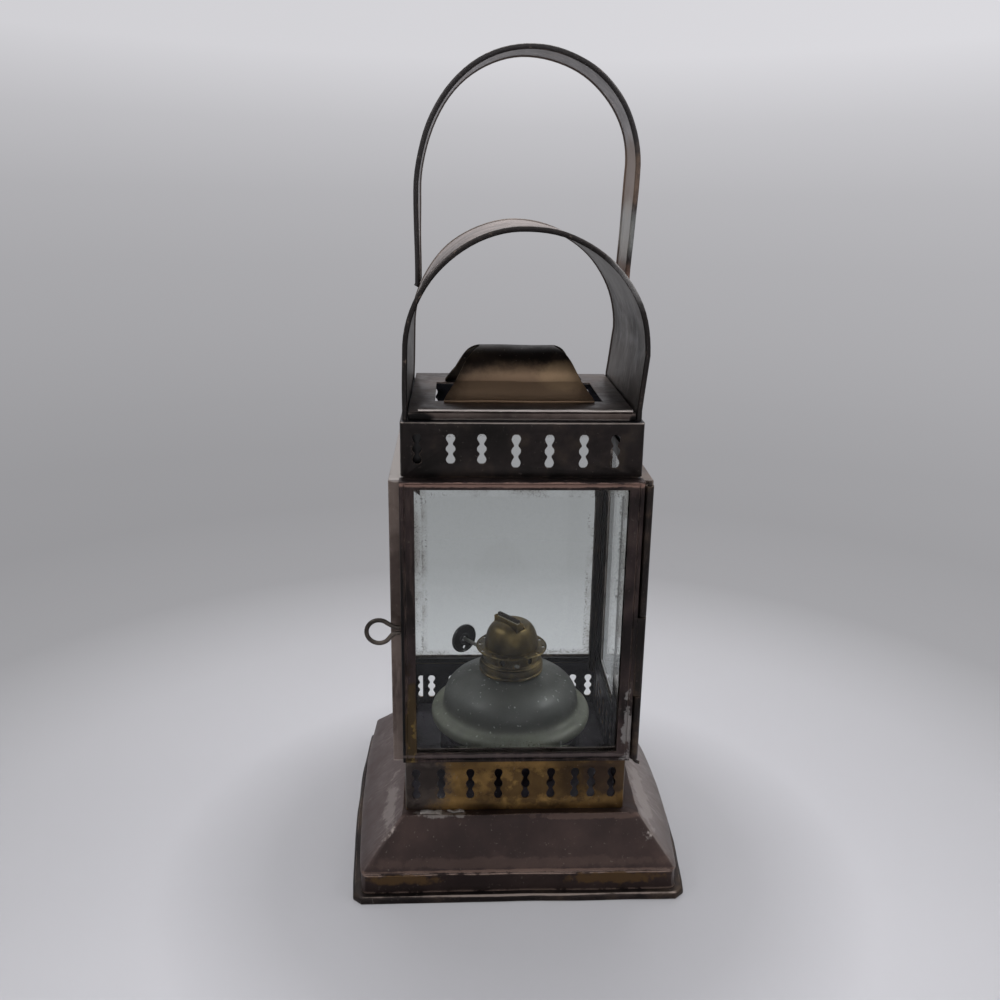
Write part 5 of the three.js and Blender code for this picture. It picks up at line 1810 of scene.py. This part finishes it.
@dataclass
class Fount:
    """The cup on the floor, the glass that stands in it and the collar on its neck.

    Outlines are written as (radius, height) in millimetres.
    """

    cup_outline: tuple[Point, ...] = (
        (0, 25.6), (26.3, 25.6), (26.8, 26.0), (26.8, 37.2), (27.0, 37.8), (26.7, 38.2), (26.2, 38.2),
        (26.0, 37.8), (26.0, 26.9), (25.7, 26.4), (0, 26.4),
    )
    brim_outline: tuple[Point, ...] = (
        (0, 26.4), (24.8, 26.4), (25.2, 26.6), (25.4, 27.0), (25.4, 40.6), (27.0, 40.9), (28.8, 41.3),
        (29.9, 42.1), (30.2, 43.2), (30.2, 44.2), (29.9, 45.1), (29.0, 45.8), (27.6, 46.3), (26.4, 46.7),
        (25.8, 47.3), (25.6, 48.3),
    )
    neck_outline: tuple[Point, ...] = (
        (9.7, 60.5), (9.4, 60.8), (9.4, 61.5), (7.7, 61.6), (7.6, 61.4), (7.6, 58.3),
    )
    inner_outline: tuple[Point, ...] = (
        (26.0, 46.6), (27.4, 44.6), (27.8, 43.2), (27.0, 42.9), (24.0, 42.4), (23.2, 41.0), (23.2, 28.6),
        (0, 28.6),
    )
    collar_outline: tuple[Point, ...] = (
        (9.7, 60.8), (11.6, 60.8), (12.0, 61.1), (12.0, 61.6), (11.6, 61.9), (11.6, 62.2), (12.0, 62.5),
        (12.0, 63.9), (11.7, 64.3), (11.2, 64.6), (9.7, 64.6), (9.7, 60.8),
    )
    crown_foot: float = 49.6
    crown_radius: float = 25.4
    crown_rise: float = 10.9
    hollow_radius: float = 23.2
    hollow_rise: float = 8.7
    fullness: float = 0.66

    def cup(self) -> bpy.types.Object:
        """Turns the cup with a rolled lip."""
        return upright("fount_cup_spun", self.cup_outline, 72)

    def glass(self) -> bpy.types.Object:
        """Turns the fount: a drum, a swelling brim, a waist, a domed crown and a neck, hollow inside.

        Returns:
            The fount.
        """
        crown = dome(self.crown_radius, self.crown_foot, self.crown_rise, self.fullness, 6, 13)
        hollow = dome(self.hollow_radius, self.crown_foot, self.hollow_rise, self.fullness, 8, 9)
        outside = [*self.brim_outline, *crown, *self.neck_outline]
        return upright("fount_glass_pressed", [*outside, *reversed(hollow), *self.inner_outline], 96)

    def collar(self) -> bpy.types.Object:
        """Turns the collar, knurled by its rolled ridges."""
        return upright("fount_collar_spun", self.collar_outline, 64)

    def build(self) -> None:
        """Builds and dresses the fount."""
        for piece, finish, node in (
            (self.cup(), FLOOR, "fount_cup"), (self.glass(), FountFinish(), "fount_glass"),
            (self.collar(), BURNER, "fount_collar"),
        ):
            smooth(piece, 40.0)
            settle(piece, finish, Body.HOUSING, node)


@dataclass
class Burner:
    """The burner over the collar, the wick, and the spindle with its knob."""

    azimuth: float = 128.2
    spindle_height: float = 66.7
    spindle_offset: float = 5.2
    spindle_bore: float = 1.0
    tube_offset: float = 1.6
    drum_outline: tuple[Point, ...] = (
        (8.6, 61.9), (9.4, 61.9), (9.4, 64.9), (11.2, 64.9), (11.5, 65.1), (11.2, 65.4), (10.9, 65.5),
        (10.6, 65.9), (10.6, 69.6), (10.4, 70.0), (10.1, 70.0), (10.1, 65.4), (8.6, 65.4), (8.6, 61.9),
    )
    air_hole: float = 1.2
    air_hole_run: float = 32.0
    air_hole_height: float = 67.7
    gallery_outline: tuple[Point, ...] = (
        (0, 70.0), (12.9, 70.0), (13.3, 70.2), (13.3, 70.5), (13.0, 70.75), (12.7, 70.5), (0, 70.5),
    )
    gallery_height: float = 70.2
    gallery_rings: tuple[Point, ...] = ((8.4, 0.6), (11.95, 0.8))
    tube_slot: Place = (13.6, 3.6, 3.0)
    cone_foot: float = 70.5
    cone_radii: Point = (9.5, 10.0)
    cone_fullness: float = 0.5
    flame_slot: Place = (13.8, 4.2, 7.0)
    flame_slot_height: float = 79.0
    knob_near: float = 21.5
    knob_outline: tuple[Point, ...] = (
        (0.2, 1.0), (0.0, 1.3), (0.0, 2.0), (0.35, 2.3), (0.35, 4.9), (0.05, 5.2), (0.0, 5.5), (0.3, 5.7),
        (0.9, 5.7), (1.2, 5.5), (1.15, 5.2), (0.85, 4.9), (0.85, 2.3), (1.2, 2.0), (1.2, 1.3), (1.0, 1.0),
        (0.2, 1.0),
    )

    def along(self, x: float, y: float, z: float) -> Place:
        """Turns a place from the burner's frame, whose X runs out to the knob, into the lantern's."""
        angle = math.radians(self.azimuth)
        return x * math.cos(angle) - y * math.sin(angle), x * math.sin(angle) + y * math.cos(angle), z

    def cylinder(self, centre: Place, radius: float, depth: float, level: bool) -> bpy.types.Object:
        """A round cutter in the burner's own frame.

        Args:
            centre: Its middle in millimetres.
            radius: Its radius.
            depth: Its length.
            level: Whether it lies along the spindle. Otherwise it stands upright.

        Returns:
            The cutter.
        """
        angle = math.radians(self.azimuth)
        bpy.ops.mesh.primitive_cylinder_add(
            vertices=24, radius=radius * MM, depth=depth * MM, location=Vector(self.along(*centre)) * MM,
            rotation=(0, math.pi / 2, angle) if level else (0, 0, angle),
        )
        return started("cutter")

    def slab(self, centre: Place, size: Place) -> bpy.types.Object:
        """A box cutter in the burner's own frame.

        Args:
            centre: Its middle in millimetres.
            size: Its sides.

        Returns:
            The cutter.
        """
        bpy.ops.mesh.primitive_cube_add(
            size=1.0, location=Vector(self.along(*centre)) * MM, rotation=(0, 0, math.radians(self.azimuth)),
            scale=Vector(size) * MM,
        )
        return started("cutter")

    def drum(self) -> bpy.types.Object:
        """Turns the drum with its flange and drills its air holes.

        Returns:
            The drum.
        """
        piece = upright("burner_body_spun", self.drum_outline, 72)
        cutters = []
        for i in range(3):
            angle = math.radians(60 * i)
            bpy.ops.mesh.primitive_cylinder_add(
                vertices=24, radius=self.air_hole * MM, depth=self.air_hole_run * MM,
                location=(0, 0, self.air_hole_height * MM),
                rotation=(0, math.pi / 2, math.radians(self.azimuth) + angle),
            )
            cutters.append(started("cutter"))
        spindle = (0, self.spindle_offset, self.spindle_height)
        cutters.append(self.cylinder(spindle, self.spindle_bore, 42.0, True))
        drilled(piece, cutters)
        return piece

    def gallery(self) -> bpy.types.Object:
        """Turns the gallery disc with a rolled rim and drills it.

        Returns:
            The gallery.
        """
        piece = upright("air_gallery_spun", self.gallery_outline, 72)
        height = self.gallery_height
        cutters = [self.slab((0, self.tube_offset, height), self.tube_slot)]
        for i in range(12):
            angle = math.radians(30 * i + 15)
            for place, radius in self.gallery_rings:
                centre = (place * math.cos(angle), place * math.sin(angle), height)
                cutters.append(self.cylinder(centre, radius, 3.0, False))
        drilled(piece, cutters)
        return piece

    def cone(self) -> bpy.types.Object:
        """Turns the flame cone and cuts the slot for the flame.

        Returns:
            The cone.
        """
        inner, outer = (
            dome(radius, self.cone_foot, radius, self.cone_fullness, 9, 10) for radius in self.cone_radii
        )
        top = (0, self.cone_foot + self.cone_radii[1])
        piece = upright("flame_cone_spun", [*inner[::-1], *outer, top], 72)
        drilled(piece, [self.slab((0, self.tube_offset, self.flame_slot_height), self.flame_slot)])
        return piece

    def knob(self) -> bpy.types.Object:
        """Turns the knob: a dished disc with a rolled rim and a hub, drilled near its rim.

        Returns:
            The knob.
        """
        near, offset, height = self.knob_near, self.spindle_offset, self.spindle_height
        profile = [self.along(near + x, offset, height + r) for x, r in self.knob_outline]
        axis = self.along(1, 0, 0)
        piece = lathe("wick_knob_pressed", profile, self.along(near, offset, height), axis, 64)
        drilled(piece, [self.cylinder((near + 0.6, offset, height - 3.6), 0.7, 6.0, True)])
        return piece

    def build(self) -> None:
        """Builds and dresses the burner."""
        for piece, node in (
            (self.drum(), "burner_body"), (self.gallery(), "air_gallery"), (self.cone(), "flame_cone"),
        ):
            smooth(piece, 35.0)
            settle(piece, BURNER, Body.HOUSING, node)
        settle(softened("wick_tube", "wick_tube_sheet", 0.15), BURNER, Body.HOUSING, "wick_tube")
        settle(softened("wick", "wick_weave", 0.3), FeltFinish(), Body.WICK, "wick")
        settle(softened("wick_spindle", "wick_spindle_steel", 0.12), WIRE, Body.SHAFT, "wick_spindle")
        knob = self.knob()
        smooth(knob, 35.0)
        settle(knob, BLACK, Body.SHAFT, "wick_knob")


# Studio


@dataclass
class Studio:
    """The pale round backdrop, the lamps, the world and the camera."""

    floor_radius: float = 0.5
    wall_radius: float = 0.58
    wall_height: float = 0.95
    camera_place: Place = (-0.0214, -0.3459, 0.2351)
    yaw: float = 2.7
    pitch: float = 17.258
    roll: float = 0.837
    lens: float = 36.18
    clip_start: float = 0.01
    ring_shift: float = 0.03
    tones: tuple[Point, ...] = (
        (0.05, 0.41), (0.085, 0.445), (0.127, 0.575), (0.2, 0.505), (0.297, 0.355), (0.44, 0.325),
        (0.587, 0.336), (0.653, 0.356), (0.718, 0.388), (0.779, 0.412), (0.838, 0.455), (0.895, 0.54),
        (0.95, 0.67),
    )
    tint: Place = (1.0, 0.992, 1.035)
    shadow_reach: Point = (0.1, 0.35)
    near_share: float = 0.5
    slant: float = 0.15
    front_from: float = 0.05
    front_lift: float = 1.1
    lamps: tuple[tuple[Place, Place, float, float], ...] = (
        ((-0.62, -0.12, 0.55), (0, 0, 0.1), 0.5, 5.0),
        ((0.62, 0.0, 0.55), (0, 0, 0.1), 0.5, 5.0),
        ((0.0, 0.4, 0.85), (0, 0, 0.12), 0.5, 3.0),
    )
    world_tone: Place = (0.94, 0.97, 1.0)
    world_strength: float = 0.5

    def backdrop_material(self) -> bpy.types.Material:
        """A pale tone that changes with the distance from the lantern. Part of it is lit, for the shadow.

        Returns:
            The material.
        """
        material = bpy.data.materials.new("backdrop")
        material.use_nodes = True
        tree = material.node_tree
        tree.nodes.clear()
        graph = Graph(tree)
        place = graph.add("TexCoord").outputs["Object"]
        moved = graph.add("VectorMath", {0: place, 1: (0, self.ring_shift, 0)}, operation="ADD").outputs[0]
        level = graph.scaled(moved, (1, 1, 0))
        flat = graph.add("VectorMath", {0: level}, operation="LENGTH").outputs["Value"]
        axes = graph.add("SeparateXYZ", {0: place}).outputs
        run = graph.math("ADD", flat, axes[2])
        ramp = graph.add("ValToRGB", {0: run})
        stops = ramp.color_ramp.elements
        while len(stops) < len(self.tones):
            stops.new(1.0)
        for stop, (at, tone) in zip(stops, self.tones, strict=True):
            stop.position = at
            stop.color = (*(tone * part for part in self.tint), 1.0)
        slant = graph.math("ADD", 1.0, graph.math("MULTIPLY", axes[0], self.slant))
        near = graph.math("MAXIMUM", graph.math("SUBTRACT", -self.front_from, axes[1]), 0.0)
        slant = graph.math("ADD", slant, graph.math("MULTIPLY", near, self.front_lift))
        slanted = graph.add("VectorMath", {0: ramp.outputs[0]}, operation="SCALE")
        graph.feed(slanted.inputs["Scale"], slant)
        lit = graph.add("BsdfDiffuse", {"Color": slanted.outputs[0]})
        glow = graph.add("Emission", {"Color": slanted.outputs[0], "Strength": 1.0})
        rays = graph.add("LightPath").outputs
        seen = graph.math("MAXIMUM", rays["Is Camera Ray"], rays["Is Glossy Ray"])
        seen = graph.math("MAXIMUM", seen, rays["Is Transmission Ray"])
        share = graph.blend(graph.step(run, *self.shadow_reach), self.near_share, 1.0)
        mixed = graph.add("MixShader", {0: graph.math("MULTIPLY", seen, share)})
        tree.links.new(lit.outputs[0], mixed.inputs[1])
        tree.links.new(glow.outputs[0], mixed.inputs[2])
        output = graph.add("OutputMaterial")
        tree.links.new(mixed.outputs[0], output.inputs[0])
        return material

    def backdrop(self) -> None:
        """Turns the backdrop: a level floor that curves up to a round wall."""
        curve = self.wall_radius - self.floor_radius
        bend = arc((self.floor_radius, curve), curve, -90, 0, 10)
        points = [(0.0, 0.0), (self.floor_radius * 0.5, 0.0), *bend, (self.wall_radius, self.wall_height)]
        piece = upright("backdrop", [(r / MM, z / MM) for r, z in points], 96)
        smooth(piece, 60.0)
        piece.data.materials.append(self.backdrop_material())

    def light(self) -> None:
        """Adds the lamps and a soft grey world."""
        for place, target, size, power in self.lamps:
            bpy.ops.object.light_add(type="AREA", location=place)
            lamp = bpy.context.active_object
            lamp.rotation_euler = (Vector(place) - Vector(target)).to_track_quat("Z", "Y").to_euler()
            lamp.data.shape = "DISK"
            lamp.data.size = size
            lamp.data.energy = power
        world = bpy.data.worlds.new("soft_room")
        world.use_nodes = True
        background = world.node_tree.nodes["Background"]
        background.inputs["Color"].default_value = (*self.world_tone, 1.0)
        background.inputs["Strength"].default_value = self.world_strength
        bpy.context.scene.world = world

    def camera(self) -> None:
        """Places the camera where the photograph was taken from."""
        yaw, pitch, roll = (math.radians(a) for a in (self.yaw, self.pitch, self.roll))
        level = math.cos(pitch)
        forward = Vector((math.sin(yaw) * level, math.cos(yaw) * level, -math.sin(pitch)))
        right = Vector((math.cos(yaw), -math.sin(yaw), 0.0))
        up = right.cross(forward)
        across = math.cos(roll) * right + math.sin(roll) * up
        top = math.cos(roll) * up - math.sin(roll) * right
        bpy.ops.object.camera_add(location=self.camera_place)
        camera = bpy.context.active_object
        turned = Matrix((across, top, -forward)).transposed().to_4x4()
        camera.matrix_world = Matrix.Translation(self.camera_place) @ turned
        camera.data.lens = self.lens
        camera.data.clip_start = self.clip_start
        bpy.context.scene.camera = camera

    def build(self) -> None:
        """Sets up the studio."""
        self.camera()
        self.backdrop()
        self.light()
        bpy.context.scene.view_settings.view_transform = "Standard"


def main() -> None:
    """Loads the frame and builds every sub-assembly."""
    logging.basicConfig(level=logging.INFO, format="%(name)s: %(message)s")
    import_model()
    SharedEffects().build()
    Studio().build()
    for assembly in (Base(), GlazedBody(), Door(), Crown(), Fount(), Burner()):
        assembly.build()


if __name__ == "__main__":
    main()
